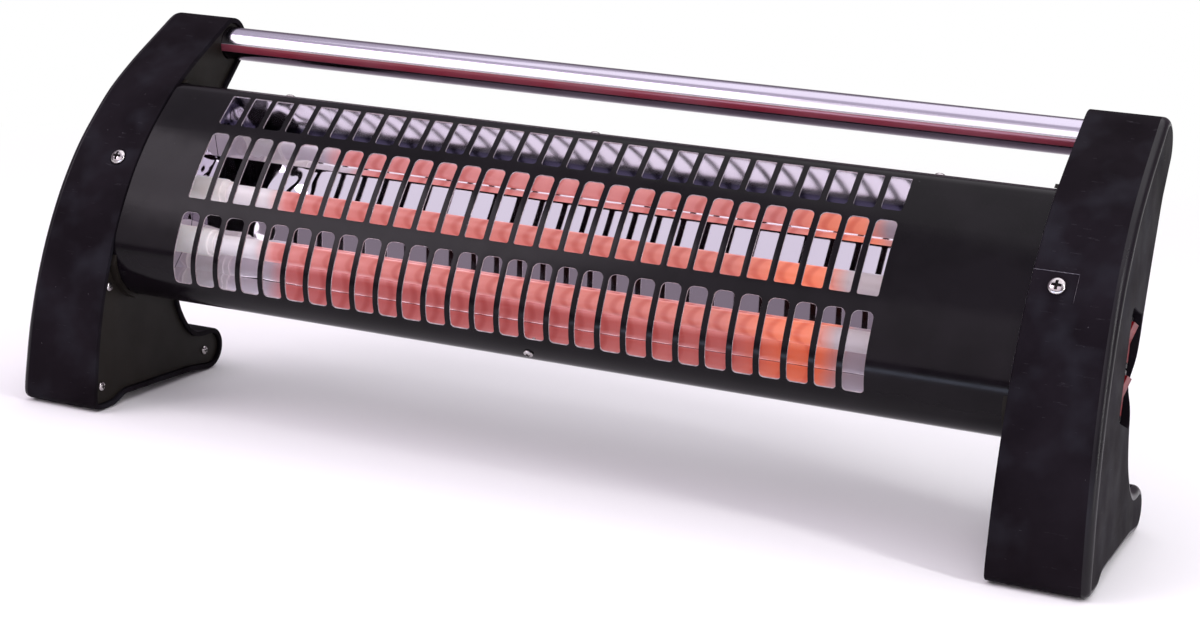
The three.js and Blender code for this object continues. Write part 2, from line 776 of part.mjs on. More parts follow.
// Bosses for the cover screws and the solid socket of the handle.
function legBosses() {
  const to = innerFace + legFootWidth;
  const from = coverBack + fitGap;
  const bosses = coverScrewPlaces().map((place) => barAlongX(bossRadius, from, to, place, 12));
  const socket = barAlongX(neckRadius - legWall / 2, from, to, handleAxis, 20);
  return [...bosses, socket].map(solidOf);
}

function legBores() {
  const from = coverBack;
  const bores = coverScrewPlaces().map((place) => barAlongX(
    smallShank + fitGap, from, from + smallShankLength + fitGap, place, 10));
  const handleEnd = innerFace + socketDepth + fitGap;
  const socket = barAlongX(handleRadius + fitGap, innerFace - cutOverrun, handleEnd, handleAxis, 24);
  return [...bores, socket, stripScrewHole(panShank + fitGap)].map(solidOf);
}

function padPlaces() {
  const x = innerFace + legFootWidth / 2;
  return {
    toe: new THREE.Vector2(x, toePadShare * handleSetback),
    heel: new THREE.Vector2(x, heelCentre.x),
  };
}

function padPockets() {
  const shape = roundedRectangle(
    padLength + 2 * fitGap, padWidth + 2 * fitGap, padRound + fitGap, 2);
  const top = padThickness - padProud + fitGap;
  return Object.values(padPlaces()).map(({ x, y }) => solidOf(
    prism(shape, -padProud - cutOverrun, top).translate(x, y, 0)));
}

// The strip screw sits in a long shallow seat at the control end, else in a round one.
function screwSeat(side) {
  const { point, outward } = stripScrewPlace(seatDepth);
  if (side === 'left') {
    const seat = new THREE.CylinderGeometry(
      panRadius + fitGap, panRadius + fitGap, cutOverrun, 16)
      .translate(0, cutOverrun / 2, 0);
    return solidOf(turnedToward(seat, outward)
      .translate(innerFace + stripScrewInset, point.x, point.y));
  }
  const seat = new THREE.BoxGeometry(seatLength + cutOverrun, cutOverrun, seatHeight)
    .translate(0, cutOverrun / 2, 0);
  const x = innerFace + (seatLength - cutOverrun) / 2;
  return solidOf(turnedToward(seat, outward).translate(x, point.x, point.y));
}

// The recess for the switches, in its own directions: across, along and out of the face.
function recessFrame() {
  const setback = pointOnPath(rearPath, recessHeight).x - recessMargin;
  const slope = pointOnPath(rearPath, recessHeight + recessLength / 2)
    .sub(pointOnPath(rearPath, recessHeight - recessLength / 2));
  const recessTilt = Math.atan2(slope.x, slope.y) - recessTurn;
  const out = new THREE.Vector3(1, 0, legTaper).normalize();
  const along = new THREE.Vector3(0, Math.sin(recessTilt), Math.cos(recessTilt));
  along.addScaledVector(out, -along.dot(out)).normalize();
  const across = new THREE.Vector3().crossVectors(along, out);
  return new THREE.Matrix4().makeBasis(across, along, out)
    .setPosition(outerFaceAt(recessHeight), setback, recessHeight);
}

const switchPlaces = { upper: switchPitch / 2, lower: -switchPitch / 2 };
const switchBodyLength = bezelLength - 2 * bezelLip;
const switchBodyWidth = bezelWidth - 2 * bezelLip;

function recessBacking() {
  const shape = roundedRectangle(
    recessWidth + 2 * legWall, recessLength + 2 * legWall, recessRound + legWall, 3);
  return solidOf(prism(shape, -recessDepth - legWall, -legWall / 2)
    .applyMatrix4(recessFrame()));
}

function recessCuts() {
  const pocket = prism(
    roundedRectangle(recessWidth, recessLength, recessRound, 3), -recessDepth, cutOverrun);
  const holes = Object.values(switchPlaces).map((along) => new THREE.BoxGeometry(
    switchBodyWidth + 2 * fitGap, switchBodyLength + 2 * fitGap, 2 * (recessDepth + legWall))
    .translate(0, along, -recessDepth));
  return [pocket, ...holes].map((piece) => solidOf(piece.applyMatrix4(recessFrame())));
}

function glandPlace() {
  return pointOnPath(rearPath, glandShare * handleHeight);
}

// A hole through the back of the leg, with a flat seat for the flange.
function glandCuts() {
  const place = glandPlace();
  const hole = new THREE.CylinderGeometry(
    glandRadius + fitGap, glandRadius + fitGap, 4 * legWall, 16);
  const seatRadius = glandRadius + glandFlange + fitGap;
  const seat = new THREE.CylinderGeometry(seatRadius, seatRadius, legWall, 16)
    .translate(0, legWall / 2, 0);
  return [hole, seat].map((cut) => solidOf(
    cut.translate(innerFace + legFootWidth / 2, place.x, place.y)));
}

function legShell(side) {
  const outside = legBlank();
  const controls = side === 'right';
  let solid = outside.subtract(legHollow());
  const added = controls ? [...legBosses(), recessBacking()] : legBosses();
  added.forEach((boss) => {
    solid = solid.add(boss.intersect(outside));
  });
  const cut = [
    ...legBores(), ...padPockets(), screwSeat(side),
    ...(controls ? [...recessCuts(), ...glandCuts()] : []),
  ];
  cut.forEach((piece) => {
    solid = solid.subtract(piece);
  });
  const inboard = box(
    new THREE.Vector3(0, -legDepth, -legDepth),
    new THREE.Vector3(innerFace, 2 * legDepth, 2 * legDepth));
  return named(`leg_shell_${side}`, geometryOf(solid.subtract(solidOf(inboard))), paint.shell);
}

// The cover closes the inner side of the leg and has a collar round the body.
function innerCover(side) {
  const outline = offsetOutline(legLoop, -legWall - fitGap);
  const from = innerFace + coverRecess;
  const sheetRoom = offsetOutline(bodyLoop, fitGap);
  const collarOutline = offsetOutline(bodyLoop, fitGap + collarWall);
  const collar = solidOf(slab(collarOutline, innerFace - collarProud, coverBack))
    .subtract(solidOf(slab(sheetRoom, innerFace - 2 * collarProud, from)))
    .intersect(solidOf(slab(outline, innerFace - collarProud, coverBack)));
  const place = frontPlace(stripScrewLevel);
  const tabSlot = place.point.clone().addScaledVector(place.inward, legWall);
  const slotLow = tabSlot.clone().addScaledVector(place.heading, -tabWidth / 2 - fitGap);
  const slotHigh = tabSlot.clone().addScaledVector(place.heading, tabWidth / 2 + fitGap);
  const cuts = [
    slab(ribbon([slotLow, slotHigh], tabThickness + 2 * fitGap), innerFace, coverBack + cutOverrun),
    barAlongX(handleRadius + fitGap, innerFace, coverBack + cutOverrun, handleAxis, 24),
    ...[tubeAxes.upper, tubeAxes.lower, returnAxis].map((axis) => barAlongX(
      wireHole, innerFace, coverBack + cutOverrun, axis, 12)),
    ...coverScrewPlaces().map((hole) => barAlongX(
      smallShank + fitGap, innerFace, coverBack + cutOverrun, hole, 10)),
  ];
  let solid = solidOf(slab(outline, from, coverBack)).add(collar);
  cuts.forEach((piece) => {
    solid = solid.subtract(solidOf(piece));
  });
  return named(`inner_cover_${side}`, geometryOf(solid), paint.cover);
}

function footPad(end, side) {
  const { x, y } = padPlaces()[end];
  const shape = roundedRectangle(padLength, padWidth, padRound, 2);
  const geometry = prism(shape, -padProud, padThickness - padProud).translate(x, y, 0);
  return named(`foot_pad_${end}_${side}`, geometry, paint.rubber);
}

function handleTube() {
  const end = innerFace + socketDepth;
  const bore = handleRadius - handleWall;
  const profile = [[bore, -end], [handleRadius, -end], [handleRadius, end], [bore, end]];
  return named('handle_tube', ringAlongX(profile, handleAxis, 28), paint.chrome);
}

// Screws: a domed head, drawn along its own Y axis with its seat at zero.

function screwBlank(headRadius, headHeight, shankRadius, shankLength, segments) {
  const waist = headRadius * Math.SQRT1_2;
  const points = [
    new THREE.Vector2(0, -shankLength),
    new THREE.Vector2(shankRadius, -shankLength),
    new THREE.Vector2(shankRadius, 0),
    new THREE.Vector2(headRadius, 0),
    new THREE.Vector2(headRadius, headHeight / 3),
    new THREE.Vector2(waist, headHeight * Math.SQRT1_2 + headHeight / 6),
    new THREE.Vector2(0, headHeight),
  ];
  return new THREE.LatheGeometry(points, segments);
}

function crossHead(blank, headRadius, headHeight) {
  const size = headRadius * crossLengthShare;
  const width = headRadius * crossWidthShare;
  const depth = headHeight * crossDepthShare;
  const arms = [
    new THREE.BoxGeometry(size, 2 * depth, width),
    new THREE.BoxGeometry(width, 2 * depth, size),
  ].map((arm) => arm.translate(0, headHeight, 0));
  return geometryOf(shaped(blank, [], arms));
}

const panScrew = crossHead(
  screwBlank(panRadius, panHeight, panShank, panShankLength, 16), panRadius, panHeight);
const smallScrew = screwBlank(smallRadius, smallHeight, smallShank, smallShankLength, 8);

// The head stands a gap off its seat, so that the two never share a face.
function screw(name, geometry, x, point, outward) {
  const mesh = named(name, geometry, paint.steel);
  mesh.quaternion.setFromUnitVectors(new THREE.Vector3(0, 1, 0), outward);
  mesh.position.set(x, point.x, point.y).addScaledVector(outward, fitGap / 3);
  return mesh;
}

const inSideView = (direction) => new THREE.Vector3(0, direction.x, direction.y);

function stripScrew(side) {
  const { point, outward } = stripScrewPlace(seatDepth);
  return screw(
    `strip_screw_${side}`, panScrew, innerFace + stripScrewInset, point, inSideView(outward));
}

function coverScrews(side) {
  const x = innerFace + coverRecess;
  const inboard = new THREE.Vector3(-1, 0, 0);
  return coverScrewPlaces().map((place, i) => screw(
    `cover_screw_${side}_${i + 1}`, smallScrew, x, place, inboard));
}

function caseScrews() {
  return flangeScrewPlaces().flatMap(({ row, point, outward }) => [-1, 0, 1].map((side, i) => screw(
    `case_screw_${row}_${i + 1}`, smallScrew, side * caseScrewSpacing, point,
    inSideView(outward))));
}

function lowerScrew() {
  return screw(
    'lower_screw', smallScrew, 0, lowerScrewPlace, inSideView(lowerScrewOutward));
}

// Switches in the recess of the control leg

const rockerEnd = rockerMiddle + (rockerLength / 2) * Math.tan(rockerTilt);
const rockerReach = Math.hypot(rockerLength / 2, rockerEnd) + fitGap;
const pivotLevel = fitGap + bezelThickness - rockerPivotDepth;

function switchHousing(level) {
  const bezel = prism(roundedRectangle(bezelWidth, bezelLength, bezelLip, 2), fitGap,
    fitGap + bezelThickness);
  const body = new THREE.BoxGeometry(switchBodyWidth, switchBodyLength, switchBodyDepth + bezelThickness)
    .translate(0, 0, fitGap + (bezelThickness - switchBodyDepth) / 2);
  const floor = pivotLevel - switchCavity;
  const hollow = new THREE.BoxGeometry(
    rockerWidth + 2 * fitGap, 2 * rockerReach, bezelThickness + cutOverrun - floor)
    .translate(0, 0, (bezelThickness + cutOverrun + floor) / 2);
  const pin = new THREE.CylinderGeometry(
    rockerPinRadius + pinPlay, rockerPinRadius + pinPlay, bezelWidth + cutOverrun, 12)
    .rotateZ(Math.PI / 2)
    .translate(0, 0, pivotLevel);
  const mesh = named(`switch_housing_${level}`, geometryOf(shaped(bezel, [body], [hollow, pin])),
    paint.shell);
  mesh.position.y = switchPlaces[level];
  return mesh;
}

// The rocker is drawn level and rests pressed in at its lower end.
function rocker(level) {
  const half = rockerLength / 2;
  const profile = new THREE.Shape([
    new THREE.Vector2(-half, 0),
    new THREE.Vector2(-half / 2, -rockerBelly),
    new THREE.Vector2(half / 2, -rockerBelly),
    new THREE.Vector2(half, 0),
    new THREE.Vector2(half, rockerEnd),
    new THREE.Vector2(0, rockerMiddle),
    new THREE.Vector2(-half, rockerEnd),
  ]);
  const across = new THREE.Matrix4().makeBasis(
    new THREE.Vector3(0, 1, 0), new THREE.Vector3(0, 0, 1), new THREE.Vector3(1, 0, 0));
  const button = prism(profile, -rockerWidth / 2, rockerWidth / 2).applyMatrix4(across);
  const pin = new THREE.CylinderGeometry(
    rockerPinRadius, rockerPinRadius, rockerWidth + 2 * rockerPinProud, 12).rotateZ(Math.PI / 2);
  const mesh = named(`switch_rocker_${level}`, geometryOf(shaped(button, [pin], [])), paint.rocker);
  mesh.position.set(0, switchPlaces[level], pivotLevel);
  mesh.rotation.x = rockerTilt;
  return mesh;
}

function switchPanel() {
  const panel = new THREE.Group();
  const floor = recessFrame().multiply(new THREE.Matrix4().makeTranslation(0, 0, -recessDepth));
  floor.decompose(panel.position, panel.quaternion, panel.scale);
  ['upper', 'lower'].forEach((level) => {
    panel.add(switchHousing(level), rocker(level));
  });
  return panel;
}

// Inside the control leg

const tipPin = new THREE.Vector2(
  tipCaseSetback, tipCaseBase + tipCaseHeight - tipPinDrop);

function tipSwitchCase() {
  const from = coverBack + fitGap;
  const half = tipCaseWidth / 2;
  const outside = box(
    new THREE.Vector3(from, tipCaseSetback - half, tipCaseBase),
    new THREE.Vector3(from + tipCaseDepth, tipCaseSetback + half, tipCaseBase + tipCaseHeight));
  const hollow = box(
    new THREE.Vector3(from + tipWall, tipCaseSetback - half + tipWall, tipCaseBase + tipWall),
    new THREE.Vector3(from + tipCaseDepth + cutOverrun, tipCaseSetback + half - tipWall,
      tipCaseBase + tipCaseHeight - tipWall));
  const pin = barAlongX(tipPinRadius, from + tipWall / 2, from + tipCaseDepth, tipPin, 16);
  const solid = solidOf(outside).subtract(solidOf(hollow)).add(solidOf(pin));
  return named('tip_switch_case', geometryOf(solid), paint.wire);
}

function tipPendulum() {
  const from = coverBack + fitGap + tipWall + fitGap;
  const to = from + bobThickness;
  const hubRadius = tipPinRadius + pinPlay + hubWall;
  const bob = new THREE.Vector2(tipPin.x, tipPin.y - bobDrop);
  const hub = barAlongX(hubRadius, from, to, tipPin, 16);
  const weight = barAlongX(bobRadius, from, to, bob, 18);
  const arm = box(
    new THREE.Vector3(from, tipPin.x - armWidth / 2, bob.y),
    new THREE.Vector3(from + armWidth, tipPin.x + armWidth / 2, tipPin.y));
  const bore = barAlongX(
    tipPinRadius + pinPlay, from - cutOverrun, to + cutOverrun, tipPin, 16);
  return named('tip_pendulum', geometryOf(shaped(hub, [weight, arm], [bore])), paint.zinc);
}

function terminalBlock() {
  const from = coverBack + fitGap;
  const block = box(
    new THREE.Vector3(from, blockSetback - blockLength / 2, blockLevel - blockHeight / 2),
    new THREE.Vector3(from + blockDepth, blockSetback + blockLength / 2,
      blockLevel + blockHeight / 2));
  const bores = [-1, 0, 1].map((side) => new THREE.CylinderGeometry(
    blockBore, blockBore, blockHeight + cutOverrun, 10)
    .rotateX(Math.PI / 2)
    .translate(from + blockDepth / 2, blockSetback + side * blockLength / 3, blockLevel));
  return named('terminal_block', geometryOf(shaped(block, [], bores)), paint.ceramic);
}

// The cord's bush in the back of the control leg, drawn along its own Y axis.
function cordGland() {
  const flange = glandRadius + glandFlange;
  const nose = glandBore + glandFlange;
  const points = [
    [glandBore, -glandTail - legWall], [glandRadius, -glandTail - legWall],
    [glandRadius, fitGap], [flange, fitGap], [flange, fitGap + glandFlangeThickness],
    [glandRadius, fitGap + glandFlangeThickness], [nose, glandNose], [glandBore, glandNose],
    [glandBore, -glandTail - legWall],
  ].map(([radius, place]) => new THREE.Vector2(radius, place));
  const mesh = named('cord_gland', new THREE.LatheGeometry(points, 14), paint.rubber);
  const place = glandPlace();
  mesh.position.set(innerFace + legFootWidth / 2, place.x, place.y);
  return mesh;
}

// Wiring

const at = (x, point) => new THREE.Vector3(x, point.x, point.y);

// A place behind a switch body, above its middle or below it.
function switchBack(level, rise) {
  const depth = recessDepth + switchBodyDepth;
  return new THREE.Vector3(0, switchPlaces[level] + rise, -depth).applyMatrix4(recessFrame());
}

// A wire runs straight out of the body through its end and the cover of the leg.
function throughCover(start, point) {
  return [start, innerFace, coverBack + wireRadius, coverBack + wireRun / 2]
    .map((x) => at(x, point));
}

function intoSwitch(level, rise) {
  const end = switchBack(level, rise);
  return [
    end.clone().add(new THREE.Vector3(-wireRun / 2, 0, 0)),
    end.clone().add(new THREE.Vector3(-fitGap, 0, 0)),
  ];
}

function switchWire(level) {
  const start = unitEnds.right + capOverhang - wireInCap;
  const points = [...throughCover(start, tubeAxes[level]), ...intoSwitch(level, wireSpread)];
  return named(`wire_${level}`, wire(points, 18), paint.wire);
}

function jumperWire() {
  const start = unitEnds.left + capOverhang - wireInCap;
  const middle = tubeAxes.upper.clone().lerp(tubeAxes.lower, 1 / 2);
  const points = [
    ...throughCover(start, tubeAxes.upper),
    at(coverBack + wireRun, middle),
    ...throughCover(start, tubeAxes.lower).reverse(),
  ];
  return named('wire_jumper', wire(points, 18), paint.wire);
}

// A place above a bore of the terminal block.
function blockEntry(side, rise) {
  return new THREE.Vector3(
    coverBack + fitGap + blockDepth / 2,
    blockSetback + side * blockLength / 3,
    blockLevel + blockHeight / 2 + rise);
}

// The return wire drops behind the other wires before it turns into the block.
function returnWire() {
  const rise = wireRun / 2;
  const corner = new THREE.Vector2(
    blockSetback + blockLength / 3 + wireRun, blockLevel + blockHeight / 2 + rise);
  const bend = [
    ...throughCover(innerFace, returnAxis).slice(1),
    at(coverBack + wireRun / 2, corner),
    blockEntry(1, rise),
    blockEntry(1, 0),
    blockEntry(1, -blockHeight / 4),
  ];
  const straight = barAlongX(
    wireRadius, -coverBack - wireRun, innerFace + wireRadius, returnAxis, 6);
  const tail = wire([at(innerFace, returnAxis), ...bend], 14);
  return named('wire_return', geometryOf(shaped(straight, [tail], [])), paint.wire);
}

function feedWire() {
  const points = [
    blockEntry(-1, -blockHeight / 4), blockEntry(-1, 0), blockEntry(-1, wireRun / 2),
    ...intoSwitch('lower', -wireSpread),
  ];
  return named('wire_feed', wire(points, 14), paint.wire);
}

// The whole heater

function sidedPieces(side) {
  return [
    legShell(side), innerCover(side), bodyEnd(side), reflectorEnd(side), stripScrew(side),
    ...coverScrews(side), footPad('toe', side), footPad('heel', side),
    endCap('upper', side), endCap('lower', side),
  ];
}

const controlEnd = new THREE.Group();
controlEnd.add(
  ...sidedPieces('right'), switchPanel(), tipSwitchCase(), tipPendulum(), terminalBlock(),
  cordGland(), switchWire('upper'), switchWire('lower'), feedWire());

const plainEnd = new THREE.Group();
plainEnd.add(...sidedPieces('left'), jumperWire());
plainEnd.scale.x = -1;

const heater = new THREE.Group();
heater.add(
  controlEnd, plainEnd, frontSheet(), backPanel(), reflector(), handleTube(), lowerScrew(),
  quartzTube('upper'), quartzTube('lower'), heatingCoil('upper'), heatingCoil('lower'),
  returnWire(), ...caseScrews());
const legBounds = new THREE.Box2().setFromPoints(legLoop);
heater.position.set(0, -(legBounds.min.x + legBounds.max.x) / 2, padProud);

const part = new THREE.Group();
part.add(heater);

export default part;
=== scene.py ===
# Quartz tube room heater, dressed for rendering. Metres, in the frame of the packed
# model: +X along the heater towards the switches, -Y to the front, +Z up.

import json
import math

import bmesh
import bpy
import numpy as np
from mathutils import Matrix, Vector

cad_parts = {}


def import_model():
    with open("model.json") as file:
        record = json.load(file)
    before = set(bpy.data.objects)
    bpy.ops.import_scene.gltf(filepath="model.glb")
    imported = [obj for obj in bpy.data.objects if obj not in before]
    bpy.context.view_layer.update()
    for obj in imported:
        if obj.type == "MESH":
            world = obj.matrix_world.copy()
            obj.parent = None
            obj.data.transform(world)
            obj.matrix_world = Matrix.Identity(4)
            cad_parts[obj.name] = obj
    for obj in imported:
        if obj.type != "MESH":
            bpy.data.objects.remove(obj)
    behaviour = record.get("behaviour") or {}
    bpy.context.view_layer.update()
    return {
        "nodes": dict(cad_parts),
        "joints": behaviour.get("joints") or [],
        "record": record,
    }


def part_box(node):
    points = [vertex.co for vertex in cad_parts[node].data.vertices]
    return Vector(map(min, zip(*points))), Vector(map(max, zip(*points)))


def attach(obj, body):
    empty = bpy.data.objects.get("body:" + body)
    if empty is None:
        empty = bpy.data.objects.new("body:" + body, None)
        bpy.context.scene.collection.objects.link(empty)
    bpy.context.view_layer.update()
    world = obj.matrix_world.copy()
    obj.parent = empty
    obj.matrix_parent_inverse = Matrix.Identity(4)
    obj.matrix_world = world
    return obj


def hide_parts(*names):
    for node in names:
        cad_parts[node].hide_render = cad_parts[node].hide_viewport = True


MM = 0.001

# Camera of the photograph
CAMERA_PLACE = Vector((0.42561, -0.94751, 0.32581))
CAMERA_AZIMUTH = math.radians(23.379)
CAMERA_ELEVATION = math.radians(13.641)
CAMERA_ROLL = math.radians(2.955)
PHOTO_WIDTH = 1200
FOCAL_PIXELS = 2229.99
SENSOR_WIDTH = 36.0
CLIP_START = 0.05
CLIP_END = 60.0

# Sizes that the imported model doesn't give directly
LEG_WALL = 2.5 * MM
LEG_EDGE_RADIUS = 3.6 * MM
LEG_EDGE_STEPS = 8
RIM_ROUND = 0.5 * MM
RIM_STEPS = 3
SLOT_PITCH = 12.75 * MM
SLOT_BAR = 3.0 * MM
SLOT_COUNT = 28
SLOT_FIELD_MIDDLE = -13.8 * MM
FLOOR_TO_SOLE = 0.8 * MM
SLOT_ROWS = ((68.7 * MM, 103.4 * MM), (109.8 * MM, 139.2 * MM), (143.2 * MM, 155.4 * MM))
SLOT_ROUNDS = ((1.9 * MM, 3.0 * MM), (0.9 * MM, 2.5 * MM), (1.6 * MM, 0.6 * MM))
SLOT_STEP = 1.6 * MM
VENT_COUNT = 12
VENT_PITCH = 26.0 * MM
VENT_LENGTH = 18.0 * MM
VENT_HEIGHT = 3.0 * MM
VENT_SPACING = 13.0 * MM
VENT_ROUNDS = ((1.35 * MM, 1.35 * MM), (1.35 * MM, 1.35 * MM))
VENT_STEP = 2.0 * MM
ROW_MARGIN = 1.5 * MM
SHEET = 0.8 * MM
SHEET_EDGE = 0.18 * MM
RECESS_LENGTH = 50.0 * MM
RECESS_WIDTH = 25.0 * MM
RECESS_DEPTH = 5.0 * MM
RECESS_ROUND = 4.0 * MM
RECESS_MOUTH = 0.7 * MM
MOUTH_STEPS = 4
HOUSING_LIP = 0.3 * MM
STRAIGHT_FROM = 20.0 * MM
STRAIGHT_STEP = 4.0 * MM
OVERRUN = 2.0 * MM
FIT = 0.3 * MM
SEAT_LENGTH = 19.5 * MM
SEAT_HEIGHT = 13.6 * MM
SEAT_DEPTH = 0.5 * MM
SEAT_CORNER = 0.4 * MM
SEAT_POINTS = 48
PAD_ROUND = 2.5 * MM
HANDLE_WALL = 1.0 * MM
TUBE_WALL = 1.1 * MM
TUBE_ROUND = 0.3 * MM
CAP_NOSE_STEP = 0.9 * MM
CAP_NOSE_LENGTH = 3.0 * MM
CAP_SOCKET = 13.0 * MM
CAP_WIRE_HOLE = 1.6 * MM
CAP_GROOVE_DEPTH = 0.8 * MM
CAP_GROOVE_PLACES = (9.0 * MM, 7.0 * MM)
CAP_ROUND = 0.5 * MM
GLAND_TAIL = 6.5 * MM
GLAND_RADIUS = 6.0 * MM
GLAND_FLANGE = 1.8 * MM
GLAND_FLANGE_THICKNESS = 2.0 * MM
GLAND_BORE = 3.4 * MM
GLAND_RIBS = 5
GLAND_RIB_DEPTH = 0.9 * MM
GLAND_VALLEY_SHARE = 0.4
GLAND_ROUND = 0.35 * MM
HEAD_STEPS = 8

# Distances up to which places count as one
WELD = 0.001 * MM
NEAR = 0.02 * MM
GRID = 0.01 * MM
TINY = 1e-6 * MM

# Shares of a screw's head, shank and cross. The cross has a level, reach and half width at
# its top and at its bottom.
SHANK_SHARE = 0.5
TIP_WIDTH_SHARE = 0.7
TIP_START_SHARE = 0.85
HEAD_FOOT_SHARE = 0.96
HEAD_EDGE_SHARES = (0.08, 0.22)
CROSS_SHARES = ((1.3, 0.70, 0.20), (0.25, 0.36, 0.11))

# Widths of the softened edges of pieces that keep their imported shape
SOFT_EDGES = {
    "inner_cover": 0.35 * MM, "switch_housing": 0.25 * MM, "switch_rocker": 0.3 * MM,
    "foot_pad": 0.3 * MM, "terminal_block": 0.3 * MM, "tip_switch_case": 0.2 * MM,
}

# The mirror stays sharp at each fold that turns by more than this, in degrees
MIRROR_FOLD = 5.0

# Places and depths in the finishes. Dust is the spacing and the size of its specks, and
# the clean share is that of the cells without a speck.
CRINKLE_FROM = -176.0 * MM
CRINKLE_TO = -138.0 * MM
CRINKLE_DEPTH = 1.6 * MM
# Heights of the mirror's painted dark reflection band along its upper bend
DARK_REFLECTION_FROM = 136.5 * MM
DARK_REFLECTION_TO = 146.5 * MM
GLOW_FROM = -160.7 * MM
GLOW_TO = 138.0 * MM
GLOW_MARGIN = (GLOW_TO - GLOW_FROM) / 18
# How far the painted shadows of the grille's bars bow round the quartz tube
BAR_SHADOW_BOW = -1.5
TO_MIRROR = (0.0, 0.85, 0.52)
FINE_GRAIN = 0.02 * MM
COVER_GRAIN = 0.03 * MM
ENAMEL_GRAIN = 0.006 * MM
SLEEVE_GRAIN = 0.08 * MM
SHELL_DUST = (5.0 * MM, 0.16 * MM)
ENAMEL_DUST = (7.0 * MM, 0.15 * MM)
CLEAN_SHARE = 0.72

# Stage. Each lamp has a place, a target, a size, a power and a colour.
FLOOR_SIZE = 30.0
SHADOW_REACH = 0.5
HORIZON = (0.24, 0.20, 0.24)
SKY = (0.82, 0.76, 0.87)
LAMPS = {
    "front": ((-0.5, -1.25, 0.86), (-0.5, 0.0, 0.86), (2.8, 1.0), 11.0, (1.0, 0.92, 1.0)),
    "left": ((-1.25, -1.05, 1.5), (-0.2, 0.0, 0.1), (1.2, 0.9), 13.0, (1.0, 0.90, 1.0)),
    "right": ((1.05, -0.25, 0.5), (0.25, 0.0, 0.15), (0.06, 1.0), 5.0, (1.0, 1.0, 1.0)),
    "low": ((0.35, -0.66, 0.012), (0.35, -0.66, 1.0), (1.1, 0.56), 11.0, (0.62, 0.73, 1.0)),
    "top": ((0.3, 0.5, 2.4), (0.0, 0.0, 0.0), (3.0, 3.0), 29.0, (1.0, 1.0, 1.0)),
}

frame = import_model()
finish_of = {}


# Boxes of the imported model

def centre_of(node):
    low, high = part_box(node)
    return (low + high) / 2


def radius_of(node):
    """The radius of a round node that lies along X."""
    low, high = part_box(node)
    return (high.z - low.z) / 2


# Node trees

def add(tree, kind, inputs=None, **settings):
    made = tree.nodes.new("ShaderNode" + kind)
    for key, value in settings.items():
        setattr(made, key, value)
    for key, value in (inputs or {}).items():
        if isinstance(value, bpy.types.NodeSocket):
            tree.links.new(value, made.inputs[key])
        else:
            made.inputs[key].default_value = value
    return made


def shader_input(tree, key):
    """An input of the principled shader; underscores stand for the spaces in its name."""
    return tree.nodes["Principled BSDF"].inputs[key.replace("_", " ")]


def new_material(name, **inputs):
    """Makes the finish of that name and returns its node tree."""
    finish_of[name] = bpy.data.materials.new(name)
    finish_of[name].use_nodes = True
    tree = finish_of[name].node_tree
    for key, value in inputs.items():
        shader_input(tree, key).default_value = value
    return tree


def place_of(tree, kind="Object"):
    return add(tree, "TexCoord").outputs[kind]


def noise(tree, scale, detail=2.0, vector=None):
    inputs = {"Scale": scale, "Detail": detail, "Vector": vector or place_of(tree)}
    return add(tree, "TexNoise", inputs).outputs["Fac"]


def ramp(tree, factor, *stops):
    made = add(tree, "ValToRGB", {"Fac": factor})
    elements = made.color_ramp.elements
    while len(elements) < len(stops):
        elements.new(0.5)
    for element, (position, color) in zip(elements, stops):
        element.position = position
        element.color = (*color, 1.0)
    return made.outputs["Color"]


def grey(value):
    return (value, value, value)


def span(tree, factor, low, high, to_low, to_high):
    return add(tree, "MapRange", {
        "Value": factor, "From Min": low, "From Max": high,
        "To Min": to_low, "To Max": to_high,
    }).outputs["Result"]


def mix_colors(tree, factor, first, second):
    made = add(tree, "Mix", data_type="RGBA")
    for key, value in (("Factor", factor), ("A", first), ("B", second)):
        socket = [s for s in made.inputs if s.name == key and s.enabled][0]
        if isinstance(value, bpy.types.NodeSocket):
            tree.links.new(value, socket)
        else:
            socket.default_value = (*value, 1.0)
    return [s for s in made.outputs if s.enabled][0]


def math_node(tree, operation, *values):
    return add(tree, "Math", dict(enumerate(values)), operation=operation).outputs[0]


def vector_node(tree, operation, *values):
    return add(tree, "VectorMath", dict(enumerate(values)), operation=operation).outputs


def part_of(tree, axis, kind="Object"):
    """One part of the place, or of another coordinate."""
    return add(tree, "SeparateXYZ", {"Vector": place_of(tree, kind)}).outputs[axis]


def feed(tree, **sockets):
    for key, socket in sockets.items():
        tree.links.new(socket, shader_input(tree, key))


def bump(tree, height, distance):
    made = add(tree, "Bump", {"Height": height, "Distance": distance, "Strength": 1.0})
    feed(tree, Normal=made.outputs["Normal"])


def dust(tree, spacing, size):
    """1 on small specks that sit in a few of the cells of a spacing, else 0."""
    cells = add(tree, "TexVoronoi", {"Vector": place_of(tree), "Scale": 1 / spacing})
    near = math_node(tree, "LESS_THAN", cells.outputs["Distance"], size / spacing)
    drawn = add(tree, "SeparateColor", {"Color": cells.outputs["Color"]}).outputs["Red"]
    few = math_node(tree, "GREATER_THAN", drawn, CLEAN_SHARE)
    return math_node(tree, "MULTIPLY", near, few)


def stretched(tree, x, y, z):
    return add(tree, "Mapping", {"Vector": place_of(tree), "Scale": (x, y, z)}).outputs["Vector"]


def mottled(tree, scale, detail, dark, light):
    """A colour that wanders between two tones."""
    return ramp(tree, noise(tree, scale, detail), (0.35, dark), (0.65, light))


def finish(tree, color, scale, detail, low, high):
    """Links a colour, and a roughness that wanders between low and high."""
    rough = span(tree, noise(tree, scale, detail), 0.3, 0.7, low, high)
    feed(tree, Base_Color=color, Roughness=rough)


# Materials

